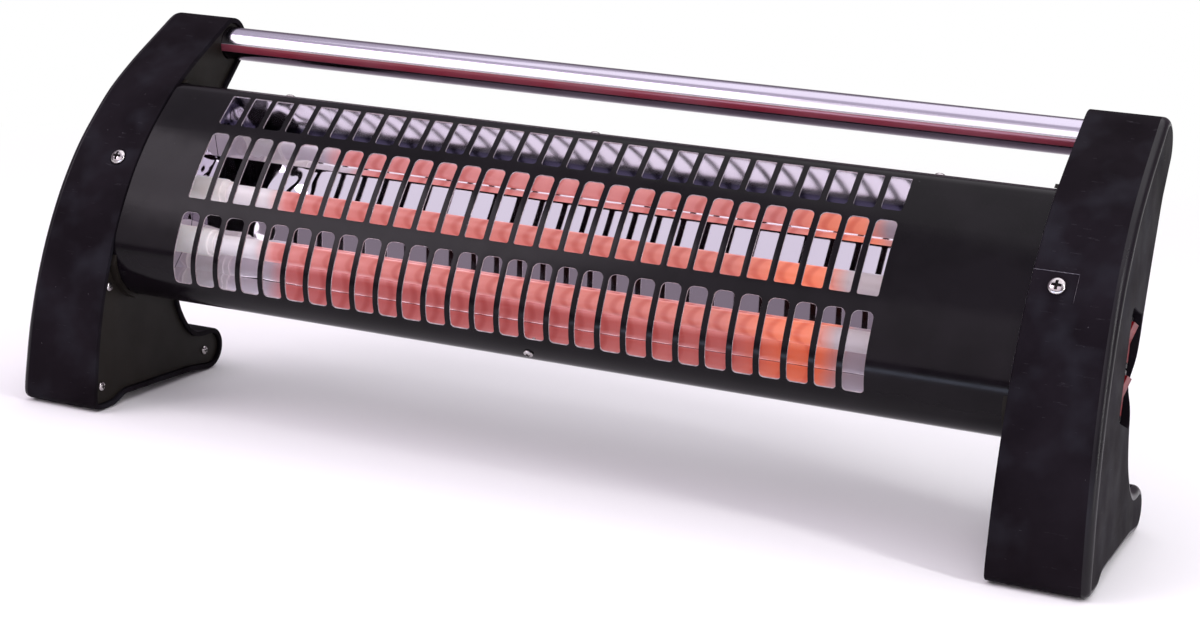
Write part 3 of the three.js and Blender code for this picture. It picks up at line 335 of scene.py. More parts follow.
def shell_plastic():
    """Satin black with faint bluish clouds, fine scratches and dust."""
    tree = new_material("shell_plastic", Specular_IOR_Level=0.015)
    base = ramp(tree, noise(tree, 26.0, 4.0),
                (0.36, (0.0060, 0.0044, 0.0060)), (0.66, (0.0110, 0.0086, 0.0114)))
    clouds = span(tree, noise(tree, 50.0, 2.5), 0.48, 0.80, 0.0, 1.0)
    clouded = mix_colors(tree, clouds, base, (0.0170, 0.0162, 0.0205))
    lines = noise(tree, 110.0, 2.0, stretched(tree, 1.0, 0.3, 10.0))
    scratches = ramp(tree, lines, (0.715, grey(0.0)), (0.73, grey(0.6)), (0.745, grey(0.0)))
    scuffed = mix_colors(tree, scratches, clouded, (0.050, 0.046, 0.052))
    color = mix_colors(tree, dust(tree, *SHELL_DUST), scuffed, (0.16, 0.15, 0.16))
    finish(tree, color, 60.0, 5.0, 0.46, 0.58)
    bump(tree, noise(tree, 1500.0, 3.0), FINE_GRAIN)


def handled_edge():
    """The rounded outer edge of a leg, which handling has polished."""
    tree = new_material("handled_edge", Specular_IOR_Level=0.22)
    color = ramp(tree, noise(tree, 26.0, 4.0),
                 (0.36, (0.0040, 0.0030, 0.0043)), (0.66, (0.0078, 0.0062, 0.0086)))
    finish(tree, color, 70.0, 4.0, 0.26, 0.36)


def scuffed_edge():
    tree = new_material("scuffed_edge", Specular_IOR_Level=0.3)
    color = mottled(tree, 700.0, 3.0, (0.10, 0.09, 0.10), (0.24, 0.22, 0.23))
    finish(tree, color, 300.0, 3.0, 0.3, 0.5)


def cover_plastic():
    tree = new_material("cover_plastic", Specular_IOR_Level=0.12)
    color = mottled(tree, 30.0, 4.0, (0.0085, 0.0066, 0.0050), (0.0125, 0.0098, 0.0075))
    finish(tree, color, 80.0, 4.0, 0.48, 0.58)
    bump(tree, noise(tree, 1800.0, 3.0), COVER_GRAIN)


def black_enamel():
    tree = new_material("black_enamel", Specular_IOR_Level=0.11)
    base = ramp(tree, noise(tree, 40.0, 4.0),
                (0.4, (0.0036, 0.0026, 0.0036)), (0.62, (0.0056, 0.0042, 0.0056)))
    color = mix_colors(tree, dust(tree, *ENAMEL_DUST), base, (0.12, 0.11, 0.12))
    finish(tree, color, 120.0, 5.0, 0.13, 0.20)
    bump(tree, noise(tree, 700.0, 3.0), ENAMEL_GRAIN)


def punched_edge():
    tree = new_material("punched_edge", Metallic=0.5)
    color = mottled(tree, 400.0, 3.0, (0.34, 0.29, 0.31), (0.54, 0.48, 0.50))
    finish(tree, color, 700.0, 3.0, 0.28, 0.42)


def polished_sheet():
    """A mirror with a painted dark reflection band along its upper bend, a painted dimmer
    reflection and a rougher finish above that, and crinkled at one end."""
    tree = new_material("polished_sheet", Metallic=1.0)
    upper = span(tree, part_of(tree, "Z"), DARK_REFLECTION_FROM, DARK_REFLECTION_TO, 0.0, 1.0)
    base = mottled(tree, 15.0, 3.0, (0.80, 0.76, 0.83), (0.84, 0.81, 0.87))
    # Painted reflection: the mirror's colour turns dark navy along its upper bend and dimmer above
    # it.
    dark = (0.060, 0.055, 0.090)
    painted_reflection_shade = ramp(tree, upper, (0.0, grey(1.0)), (0.16, dark), (0.55, dark),
                (0.85, (0.74, 0.71, 0.76)))
    color = vector_node(tree, "MULTIPLY", base, painted_reflection_shade)[0]
    rough = span(tree, noise(tree, 90.0, 4.0), 0.3, 0.7, 0.02, 0.05)
    duller = span(tree, upper, 0.0, 0.4, 0.0, 0.06)
    feed(tree, Base_Color=color, Roughness=math_node(tree, "ADD", rough, duller))
    crinkled = span(tree, part_of(tree, "X"), CRINKLE_FROM, CRINKLE_TO, 1.0, 0.0)
    waves = math_node(tree, "MULTIPLY", noise(tree, 55.0, 1.0), crinkled)
    bump(tree, waves, CRINKLE_DEPTH)


def chromed_tube():
    """Chrome with a painted dimmer reflection on top and at the bottom, a dark red band along its
    lower front and a painted darker, brownish reflection below that."""
    tree = new_material("chromed_tube")
    middle = centre_of("handle_tube")
    drop = math_node(tree, "SUBTRACT", middle.z, part_of(tree, "Z"))
    ahead = math_node(tree, "SUBTRACT", middle.y, part_of(tree, "Y"))
    turn = math_node(tree, "ARCTAN2", drop, ahead)
    share = span(tree, turn, -math.pi / 2, math.pi / 2, 0.0, 1.0)
    # Painted reflections: the chrome's colour is dimmed on top and at the bottom, and darkened to
    # brown below the red band.
    painted_dim_reflection = (0.48, 0.445, 0.53)
    bright = (0.92, 0.90, 0.94)
    red = (0.210, 0.012, 0.026)
    painted_dark_reflection = (0.085, 0.058, 0.085)
    red_low = (0.475, 0.49)
    red_high = (0.63, 0.645)
    bands = ramp(tree, share, (0.32, painted_dim_reflection), (0.38, bright), (red_low[0], bright),
                 (red_low[1], red), (red_high[0], red), (red_high[1], painted_dark_reflection),
                 (0.93, painted_dark_reflection), (0.97, painted_dim_reflection))
    metal = ramp(tree, share, (red_low[0], grey(1.0)), (red_low[1], grey(0.1)),
                 (red_high[0], grey(0.1)), (red_high[1], grey(1.0)))
    worn = span(tree, noise(tree, 20.0, 3.0), 0.3, 0.7, 0.0, 0.14)
    color = mix_colors(tree, worn, bands, (0.35, 0.33, 0.37))
    grain = noise(tree, 140.0, 4.0, stretched(tree, 0.1, 1.0, 1.0))
    rough = span(tree, grain, 0.3, 0.7, 0.14, 0.20)
    feed(tree, Base_Color=color, Metallic=metal, Roughness=rough)


def quartz():
    """Milky quartz lit from inside between the two ends of the coil, hotter at one end, with a
    painted faint glow at its cold ends, a painted brighter glow on the side towards the mirror,
    a salmon base colour that paints the glow into its own colour, and faint bands of painted
    shadow from the grille's bars."""
    tree = new_material("quartz", Roughness=0.3, Specular_IOR_Level=0.3, Emission_Strength=1.0)
    place = part_of(tree, "X")
    share = span(tree, place, GLOW_FROM - GLOW_MARGIN, GLOW_TO + GLOW_MARGIN, 0.0, 1.0)
    # Painted glow: the cold ends also give off a faint light.
    cold_end_painted_glow = (0.14, 0.12, 0.125)

    def glow(warm, hot):
        return ramp(tree, share, (0.055, cold_end_painted_glow), (0.085, warm), (0.80, warm), (0.88, hot),
                    (0.93, hot), (0.965, cold_end_painted_glow))

    # Painted light: the side facing the mirror glows brighter, standing in for the glow the mirror
    # throws back onto it.
    facing = vector_node(tree, "DOT_PRODUCT", place_of(tree, "Normal"), TO_MIRROR)["Value"]
    painted_mirror_light_share = span(tree, facing, 0.1, 0.8, 0.0, 1.0)
    near_glow = glow((0.38, 0.070, 0.060), (0.62, 0.100, 0.030))
    glow_with_painted_mirror_light = glow((0.62, 0.210, 0.190), (0.80, 0.210, 0.110))
    both = mix_colors(tree, painted_mirror_light_share, near_glow, glow_with_painted_mirror_light)
    # Painted shadow: bands at the slot pitch, bowed round the tube, darken the glow and the base
    # colour like shadows of the grille's bars; the cold ends stay unbanded.
    upward = part_of(tree, "Z", "Normal")
    bow = math_node(tree, "MULTIPLY", upward, upward)
    phase = math_node(tree, "MULTIPLY", place, 2 * math.pi / SLOT_PITCH)
    wave = math_node(tree, "SINE", math_node(tree, "MULTIPLY_ADD", bow, BAR_SHADOW_BOW, phase))
    cold_ends = ramp(tree, share, (0.08, grey(1.0)), (0.10, grey(0.0)), (0.94, grey(0.0)),
                     (0.96, grey(1.0)))
    level = math_node(tree, "MAXIMUM", span(tree, wave, -1.0, 1.0, 0.0, 1.0), cold_ends)
    bands = ramp(tree, level, (0.0, (0.82, 0.62, 0.60)), (0.3, (0.96, 0.92, 0.92)),
                 (1.0, grey(1.0)))
    # Painted glow: the base colour is salmon where the coil glows, and milky white at the cold
    # ends.
    base = ramp(tree, share, (0.05, (0.80, 0.76, 0.78)), (0.09, (0.40, 0.21, 0.20)),
                (0.93, (0.39, 0.20, 0.15)), (0.97, (0.50, 0.43, 0.45)))
    feed(tree, Emission_Color=vector_node(tree, "MULTIPLY", both, bands)[0],
         Base_Color=vector_node(tree, "MULTIPLY", base, bands)[0])


def coil_wire():
    tree = new_material("coil_wire", Metallic=0.6, Roughness=0.5, Emission_Strength=1.0)
    color = ramp(tree, noise(tree, 300.0), (0.4, (0.70, 0.16, 0.04)), (0.6, (0.80, 0.22, 0.06)))
    feed(tree, Base_Color=color, Emission_Color=color)


def ceramic():
    # Painted glow: the faint emission lightens the caps, which sit in shade behind the grille.
    tree = new_material("ceramic", Emission_Color=(1.0, 0.90, 0.88, 1.0), Emission_Strength=0.16)
    color = mottled(tree, 90.0, 4.0, (0.80, 0.74, 0.73), (0.92, 0.88, 0.87))
    finish(tree, color, 200.0, 4.0, 0.32, 0.5)
    bump(tree, noise(tree, 1400.0, 3.0), FINE_GRAIN)


def screw_steel():
    tree = new_material("screw_steel", Metallic=1.0)
    color = mottled(tree, 500.0, 3.0, (0.40, 0.37, 0.37), (0.58, 0.55, 0.55))
    finish(tree, color, 900.0, 4.0, 0.14, 0.26)


def painted_drive_shade():
    # Painted shade: a near-black finish for the screws' cross recesses, where shade falls.
    tree = new_material("painted_drive_shade", Specular_IOR_Level=0.2)
    color = mottled(tree, 900.0, 3.0, (0.012, 0.009, 0.008), (0.04, 0.032, 0.03))
    finish(tree, color, 600.0, 3.0, 0.6, 0.8)


def zinc_sheet():
    tree = new_material("zinc_sheet", Metallic=1.0)
    cells = add(tree, "TexVoronoi", {"Vector": place_of(tree), "Scale": 260.0})
    crystals = cells.outputs["Distance"]
    base = ramp(tree, crystals, (0.1, (0.34, 0.34, 0.35)), (0.9, (0.50, 0.50, 0.52)))
    feed(tree, Base_Color=base, Roughness=span(tree, crystals, 0.0, 1.0, 0.36, 0.52))


def rubber():
    tree = new_material("rubber")
    color = mottled(tree, 300.0, 3.0, grey(0.009), grey(0.014))
    finish(tree, color, 600.0, 3.0, 0.72, 0.88)
    bump(tree, noise(tree, 2500.0, 2.0), FINE_GRAIN)


def red_rocker():
    tree = new_material("red_rocker", Specular_IOR_Level=0.05)
    color = mottled(tree, 160.0, 3.0, (0.11, 0.003, 0.005), (0.17, 0.005, 0.007))
    finish(tree, color, 500.0, 3.0, 0.26, 0.38)


def switch_plastic():
    tree = new_material("switch_plastic", Specular_IOR_Level=0.5)
    color = mottled(tree, 200.0, 3.0, grey(0.006), grey(0.010))
    finish(tree, color, 500.0, 3.0, 0.22, 0.34)


def white_plastic():
    tree = new_material("white_plastic")
    color = mottled(tree, 120.0, 3.0, (0.66, 0.62, 0.55), (0.74, 0.70, 0.63))
    finish(tree, color, 400.0, 3.0, 0.4, 0.52)


def wire_sleeve():
    """A woven glass sleeve with slanting ribs."""
    tree = new_material("wire_sleeve", Roughness=0.8)
    ribs = add(tree, "TexWave", {"Vector": place_of(tree), "Scale": 900.0},
               bands_direction="DIAGONAL").outputs["Fac"]
    base = ramp(tree, ribs, (0.2, (0.50, 0.47, 0.42)), (0.8, (0.72, 0.69, 0.63)))
    feed(tree, Base_Color=base)
    bump(tree, ribs, SLEEVE_GRAIN)


makers = [
    shell_plastic, cover_plastic, black_enamel, polished_sheet, chromed_tube, quartz, coil_wire,
    ceramic, screw_steel, zinc_sheet, rubber, red_rocker, switch_plastic, white_plastic,
    wire_sleeve, punched_edge, handled_edge, scuffed_edge, painted_drive_shade,
]
for maker in makers:
    maker()
slot_of_node = {entry["node"]: entry["material_slot"] for entry in frame["record"]["subparts"]}
body_of_node = {
    name: body for body, names in frame["record"]["behaviour"]["bodies"].items() for name in names}


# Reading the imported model

def merged(name):
    """The node's faces on vertices that are joined again."""
    data = frame["nodes"][name].data
    form = bmesh.new()
    corners = [form.verts.new(vertex.co) for vertex in data.vertices]
    for face in data.polygons:
        form.faces.new([corners[i] for i in face.vertices])
    bmesh.ops.remove_doubles(form, verts=form.verts, dist=WELD)
    return form


def plane_loops(name, x):
    """The outlines, as lists of (y, z), of the node's flat faces that lie at x."""
    form = merged(name)
    flat = {face for face in form.faces if all(abs(v.co.x - x) < NEAR for v in face.verts)}
    ahead = {}
    for face in flat:
        for loop in face.loops:
            others = [other for other in loop.edge.link_faces if other is not face]
            if not any(other in flat for other in others):
                ahead[loop.vert.index] = loop.link_loop_next.vert.index
    form.verts.ensure_lookup_table()
    loops = []
    while ahead:
        start, place = ahead.popitem()
        indices = [start]
        while place != start:
            indices.append(place)
            place = ahead.pop(place)
        loops.append([Vector(form.verts[i].co.yz) for i in indices])
    form.free()
    return loops


def area_of(loop):
    shifted = loop[1:] + loop[:1]
    return sum(a.x * b.y - b.x * a.y for a, b in zip(loop, shifted)) / 2


def largest_loop(name, x):
    """The largest outline of the node at x, anticlockwise."""
    loop = max(plane_loops(name, x), key=lambda found: abs(area_of(found)))
    return loop if area_of(loop) > 0 else loop[::-1]


# Outlines in the side view, as (y, z)

def with_straights(points, closed):
    """Puts points along each long straight stretch, so that smoothing leaves it straight."""
    made = []
    count = len(points)
    for i, point in enumerate(points):
        made.append(point)
        if i == count - 1 and not closed:
            break
        after = points[(i + 1) % count]
        length = (after - point).length
        if length > STRAIGHT_FROM:
            pieces = int(length / STRAIGHT_STEP)
            made += [point.lerp(after, k / pieces) for k in range(1, pieces)]
    return made


def smoothed(points, steps, closed=False):
    """A centripetal spline through the points."""
    points = with_straights(points, closed)
    count = len(points)

    def at(i):
        if closed:
            return points[i % count]
        if i < 0:
            return 2 * points[0] - points[1]
        if i >= count:
            return 2 * points[-1] - points[-2]
        return points[i]

    made = []
    for i in range(count if closed else count - 1):
        p = [at(i + k) for k in (-1, 0, 1, 2)]
        t = [0.0]
        for a, b in zip(p, p[1:]):
            t.append(t[-1] + math.sqrt((b - a).length))
        for k in range(steps):
            u = t[1] + (t[2] - t[1]) * k / steps
            a = [((t[j + 1] - u) * p[j] + (u - t[j]) * p[j + 1]) / (t[j + 1] - t[j])
                 for j in range(3)]
            b = [((t[j + 2] - u) * a[j] + (u - t[j]) * a[j + 1]) / (t[j + 2] - t[j])
                 for j in range(2)]
            made.append(((t[2] - u) * b[0] + (u - t[1]) * b[1]) / (t[2] - t[1]))
    if not closed:
        made.append(points[-1])
    return made


def edge_normal(a, b):
    step = (b - a).normalized()
    return Vector((step.y, -step.x))


def offset_loop(points, distance):
    """Moves an anticlockwise outline outwards by distance."""
    made = []
    count = len(points)
    for i, point in enumerate(points):
        first = edge_normal(points[i - 1], point)
        second = edge_normal(point, points[(i + 1) % count])
        made.append(point + (first + second) * (distance / (1 + first.dot(second))))
    return made


def strip_path(name, x):
    """The outer line of a bent sheet, read from its flat end at x."""
    loop = largest_loop(name, x)
    count = len(loop)
    lengths = [(loop[(i + 1) % count] - loop[i]).length for i in range(count)]
    ends = sorted(sorted(range(count), key=lambda i: lengths[i])[:2])
    first = [loop[i % count] for i in range(ends[0] + 1, ends[1] + 1)]
    second = [loop[i % count] for i in range(ends[1] + 1, ends[0] + 1 + count)]
    travel = [sum((b - a).length for a, b in zip(path, path[1:])) for path in (first, second)]
    return first if travel[0] > travel[1] else second


# Meshes

def new_object(name, form):
    bmesh.ops.recalc_face_normals(form, faces=form.faces)
    mesh = bpy.data.meshes.new(name)
    form.to_mesh(mesh)
    form.free()
    made = bpy.data.objects.new(name, mesh)
    bpy.context.scene.collection.objects.link(made)
    return made


def flat_copy(made):
    """Replaces an object's mesh by what its modifiers make of it."""
    graph = bpy.context.evaluated_depsgraph_get()
    mesh = bpy.data.meshes.new_from_object(made.evaluated_get(graph))
    made.modifiers.clear()
    made.data = mesh
    return made


def paint(made, *names):
    for name in names:
        made.data.materials.append(finish_of[name])


def dressed(made, node, angle):
    """Gives a piece its finish, its shading and its place in the frame, for one node."""
    if not made.data.materials:
        paint(made, slot_of_node[node])
    made.data.shade_smooth()
    made.data.set_sharp_from_angle(angle=math.radians(angle))
    step = made.modifiers.new("normals", "WEIGHTED_NORMAL")
    step.keep_sharp = True
    flat_copy(made)
    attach(made, body_of_node[node])
    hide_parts(node)
    return made


def rings_to_form(rings):
    """Joins rings of equally many points into a skin, with a face on each end."""
    form = bmesh.new()
    made = [[form.verts.new(point) for point in ring] for ring in rings]
    count = len(rings[0])
    for low, high in zip(made, made[1:]):
        for i in range(count):
            form.faces.new((low[i], low[(i + 1) % count], high[(i + 1) % count], high[i]))
    form.faces.new(made[0][::-1])
    form.faces.new(made[-1])
    return form


def full_circle(steps):
    return [2 * math.pi * i / steps for i in range(steps)]


def quarter(steps):
    """The turns of a rounding, from nothing to a right angle."""
    return [k / steps * math.pi / 2 for k in range(steps + 1)]


def turned(profile, matrix, segments):
    """A body of revolution about the third axis of a matrix. Each pair is radius, place."""
    form = bmesh.new()
    rings = []
    for radius, place in profile:
        if radius == 0:
            rings.append([form.verts.new(matrix @ Vector((0, 0, place)))] * segments)
            continue
        rings.append([
            form.verts.new(matrix @ Vector((
                radius * math.cos(turn), radius * math.sin(turn), place)))
            for turn in full_circle(segments)])
    for low, high in zip(rings, rings[1:]):
        for i in range(segments):
            corners = [low[i], low[(i + 1) % segments], high[(i + 1) % segments], high[i]]
            corners = [v for k, v in enumerate(corners) if v not in corners[:k]]
            if len(corners) > 2:
                form.faces.new(corners)
    return form


def rounded_profile(corners, radius, steps=4):
    """Rounds each corner of a closed profile by the same radius. It ends where it began."""
    made = []
    count = len(corners)
    for i, corner in enumerate(corners):
        corner = Vector(corner)
        before = Vector(corners[i - 1]) - corner
        after = Vector(corners[(i + 1) % count]) - corner
        reach = min(radius, before.length / 2.2, after.length / 2.2)
        start = corner + before.normalized() * reach
        end = corner + after.normalized() * reach
        for k in range(steps + 1):
            t = k / steps
            made.append(tuple(
                start * (1 - t) ** 2 + corner * 2 * t * (1 - t) + end * t ** 2))
    return made + made[:1]


def cut(made, cutter, operation="DIFFERENCE"):
    step = made.modifiers.new("cut", "BOOLEAN")
    step.operation = operation
    step.solver = "EXACT"
    step.material_mode = "TRANSFER"
    step.object = cutter
    flat_copy(made)
    bpy.data.objects.remove(cutter)
    return made


def rounded_rectangle(width, height, radius, steps=6):
    points = []
    for i, (x, y) in enumerate(((1, -1), (1, 1), (-1, 1), (-1, -1))):
        centre = Vector((x * (width / 2 - radius), y * (height / 2 - radius)))
        for k in range(steps + 1):
            turn = (i - 1 + k / steps) * math.pi / 2
            points.append(centre + radius * Vector((math.cos(turn), math.sin(turn))))
    return points


def softened(made, width, angle):
    """Rounds the edges that turn by more than an angle."""
    step = made.modifiers.new("soft", "BEVEL")
    step.width = width
    step.segments = 2
    step.limit_method = "ANGLE"
    step.angle_limit = math.radians(angle)
    return flat_copy(made)


def refined(node, width, angle):
    """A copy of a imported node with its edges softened, standing for it."""
    form = merged(node)
    bmesh.ops.dissolve_limit(
        form, angle_limit=math.radians(1.0), verts=form.verts, edges=form.edges)
    made = new_object(node + "_fine", form)
    if width:
        softened(made, width, angle=40.0)
    return dressed(made, node, angle)


# Legs

inner_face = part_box("leg_shell_right")[0].x


def outer_face():
    """The plane of the leg's large outer face: its normal and its distance."""
    areas = {}
    for face in frame["nodes"]["leg_shell_right"].data.polygons:
        if face.normal.x > 0.9:
            key = tuple(round(n, 3) for n in face.normal)
            areas.setdefault(key, []).append(face)
    faces = max(areas.values(), key=lambda found: sum(face.area for face in found))
    normal = faces[0].normal.copy()
    return normal, normal.dot(faces[0].center)


leg_normal, leg_distance = outer_face()


def outer_x(z):
    return (leg_distance - leg_normal.z * z) / leg_normal.x


leg_loop = largest_loop("leg_shell_left", -inner_face)


def leg_ring(sign, x_at, distance):
    """The leg's outline moved out by a distance, with X taken from the height."""
    outline = smoothed(offset_loop(leg_loop, distance), steps=4, closed=True)
    return [Vector((sign * x_at(point.y), point.x, point.y)) for point in outline]


def leg_rings(sign):
    """From the bottom of the hollow over the rim and round the outer edge to the face."""
    made = [leg_ring(sign, lambda z: outer_x(z) - LEG_WALL, -LEG_WALL)]
    made.append(leg_ring(sign, lambda z: inner_face, -LEG_WALL))
    for turn in quarter(RIM_STEPS):
        inset = RIM_ROUND * (1 - math.sin(turn))
        depth = RIM_ROUND * (1 - math.cos(turn))
        made.append(leg_ring(sign, lambda z: inner_face + depth, -inset))
    for turn in quarter(LEG_EDGE_STEPS):
        inset = LEG_EDGE_RADIUS * (1 - math.cos(turn))
        rise = LEG_EDGE_RADIUS * (1 - math.sin(turn))
        made.append(leg_ring(sign, lambda z: outer_x(z) - rise, -inset))
    made.append(leg_ring(sign, outer_x, -LEG_EDGE_RADIUS - RIM_ROUND))
    return made


def recess_matrix():
    """The frame of the switch recess: across, along and out of the leg's outer face."""
    pivots = {joint["name"]: joint for joint in frame["joints"]}
    upper = Vector(pivots["upper_rocker_press"]["pos_m"])
    lower = Vector(pivots["lower_rocker_press"]["pos_m"])
    across = Vector(pivots["upper_rocker_press"]["axis"]).normalized()
    along = (upper - lower).normalized()
    out = across.cross(along).normalized()
    middle = (upper + lower) / 2
    to_face = (leg_distance - leg_normal.dot(middle)) / leg_normal.dot(out)
    made = Matrix((across, along, out)).transposed().to_4x4()
    made.translation = middle + out * to_face
    return made


recess = recess_matrix()


def flared_prism(width, length, radius, bottom, flare, top):
    """A prism that opens out at level zero, drawn in the recess frame."""
    levels = [(bottom, 0.0), (-flare, 0.0)]
    for turn in quarter(MOUTH_STEPS)[1:]:
        levels.append((-flare * (1 - math.sin(turn)), flare * (1 - math.cos(turn))))
    levels.append((top, flare))
    return rings_to_form([
        [recess @ Vector((*point, level)) for point in rounded_rectangle(
            width + 2 * grow, length + 2 * grow, radius + grow)]
        for level, grow in levels])


def leg(side, sign):
    node = "leg_shell_" + side
    rings = leg_rings(sign)
    made = new_object(node + "_fine", rings_to_form(rings))
    paint(made, "shell_plastic", "handled_edge")
    edge_end = len(rings) - 2
    for face in made.data.polygons:
        if edge_end - LEG_EDGE_STEPS <= face.index // len(rings[0]) < edge_end:
            face.material_index = 1
    if side == "right":
        backing = flared_prism(
            RECESS_WIDTH + 2 * LEG_WALL, RECESS_LENGTH + 2 * LEG_WALL, RECESS_ROUND + LEG_WALL,
            -RECESS_DEPTH - LEG_WALL, LEG_WALL / 8, -LEG_WALL / 4)
        cut(made, new_object("backing", backing), "UNION")
        pocket = flared_prism(
            RECESS_WIDTH, RECESS_LENGTH, RECESS_ROUND, -RECESS_DEPTH, RECESS_MOUTH, OVERRUN)
        cut(made, new_object("pocket", pocket))
        for level in ("upper", "lower"):
            cut(made, through_box("switch_housing_" + level))
        for cutter in gland_cutters():
            cut(made, cutter)
    cut(made, screw_seat(side))
    for end in ("toe", "heel"):
        cut(made, pad_pocket(f"foot_pad_{end}_{side}"))
    return dressed(made, node, angle=28.0)


def screw_seat(side):
    """A long shallow seat at the control end, else a round one, under the strip screw."""
    place, axis, head, _, _ = screw_frame("strip_screw_" + side)
    across = Vector((1, 0, 0))
    out = Vector((0, axis.y, axis.z)).normalized()
    upright = Matrix((across, out.cross(across), out)).transposed().to_4x4()
    if side == "left":
        points = [Vector((math.cos(turn), math.sin(turn))) * (head + FIT)
                  for turn in full_circle(SEAT_POINTS)]
    else:
        points = rounded_rectangle(SEAT_LENGTH + OVERRUN, SEAT_HEIGHT, SEAT_CORNER, steps=3)
        place.x = inner_face + (SEAT_LENGTH - OVERRUN) / 2
    base = Matrix.Translation(place - out * FIT / 3) @ upright
    seat = new_object("seat", rings_to_form([
        [base @ Vector((*(point + grow * point.normalized()), level)) for point in points]
        for level, grow in ((0.0, 0.0), (SEAT_DEPTH, FIT), (OVERRUN, OVERRUN))]))
    paint(seat, "shell_plastic", "scuffed_edge")
    for face in seat.data.polygons:
        face.material_index = 0 if abs(face.normal.dot(out)) > 0.5 else 1
    return seat


def pad_pocket(node):
    """A cutter for the seat of a foot pad."""
    low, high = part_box(node)
    points = rounded_rectangle(
        high.x - low.x + 2 * FIT, high.y - low.y + 2 * FIT, PAD_ROUND + FIT)
    middle = (low + high) / 2
    return new_object("pocket", rings_to_form([
        [Vector((middle.x + point.x, middle.y + point.y, level)) for point in points]
        for level in (low.z - OVERRUN, high.z + FIT)]))


def gland_matrix():
    """The gland's seat on the back of the leg: its third axis points to the rear."""
    low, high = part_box("cord_gland")
    middle = (low + high) / 2
    return Matrix.Translation((middle.x, low.y + GLAND_TAIL, middle.z)) @ Matrix(
        ((-1, 0, 0, 0), (0, 0, 1, 0), (0, 1, 0, 0), (0, 0, 0, 1)))


def gland_cutters():
    """Cutters for the bush's hole and for the seat of its flange."""
    for radius, start, end in (
            (GLAND_RADIUS + FIT, -2 * LEG_WALL, 2 * LEG_WALL),
            (GLAND_RADIUS + GLAND_FLANGE + FIT, 0.0, LEG_WALL)):
        profile = [(0.0, start), (radius, start), (radius, end), (0.0, end)]
        yield new_object("cutter", turned(profile, gland_matrix(), segments=64))


def local_box(node, matrix):
    """The lowest and highest corner of a node in the directions of a matrix."""
    inverse = matrix.inverted()
    points = np.array([inverse @ v.co for v in frame["nodes"][node].data.vertices])
    return Vector(points.min(0)), Vector(points.max(0))


def through_box(node):
    """A cutter for the hole that a switch body passes through."""
    low, high = local_box(node, recess)
    width = high.x - low.x - 2 * HOUSING_LIP
    length = high.y - low.y - 2 * HOUSING_LIP
    points = rounded_rectangle(width, length, HOUSING_LIP, steps=2)
    middle = Vector(((low.x + high.x) / 2, (low.y + high.y) / 2))
    rings = [[recess @ Vector((*(middle + point), level)) for point in points]
             for level in (low.z, -RECESS_DEPTH / 2)]
    return new_object("hole", rings_to_form(rings))


# Sheets with slots

class Path:
    """A smooth line in the side view, read by the distance along it."""

    def __init__(self, points):
        self.points = points
        steps = [(b - a).length for a, b in zip(points, points[1:])]
        self.places = np.concatenate([[0.0], np.cumsum(steps)])
        self.length = self.places[-1]

    def at(self, place):
        x = np.interp(place, self.places, [p.x for p in self.points])
        y = np.interp(place, self.places, [p.y for p in self.points])
        return Vector((x, y))

    def place_at_height(self, height):
        """The first place at which the line climbs through a height."""
        for i in range(1, len(self.points)):
            low, high = self.points[i - 1], self.points[i]
            if low.y <= height < high.y:
                share = (height - low.y) / (high.y - low.y)
                return self.places[i - 1] + share * (self.places[i] - self.places[i - 1])
        raise ValueError("the line never climbs to that height")


def stops_between(low, high, step):
    count = max(1, round((high - low) / step))
    return [low + (high - low) * i / count for i in range(count + 1)]


def merged_stops(stops):
    made = []
    for stop in sorted(stops):
        if not made or stop - made[-1] > NEAR:
            made.append(stop)
    return made


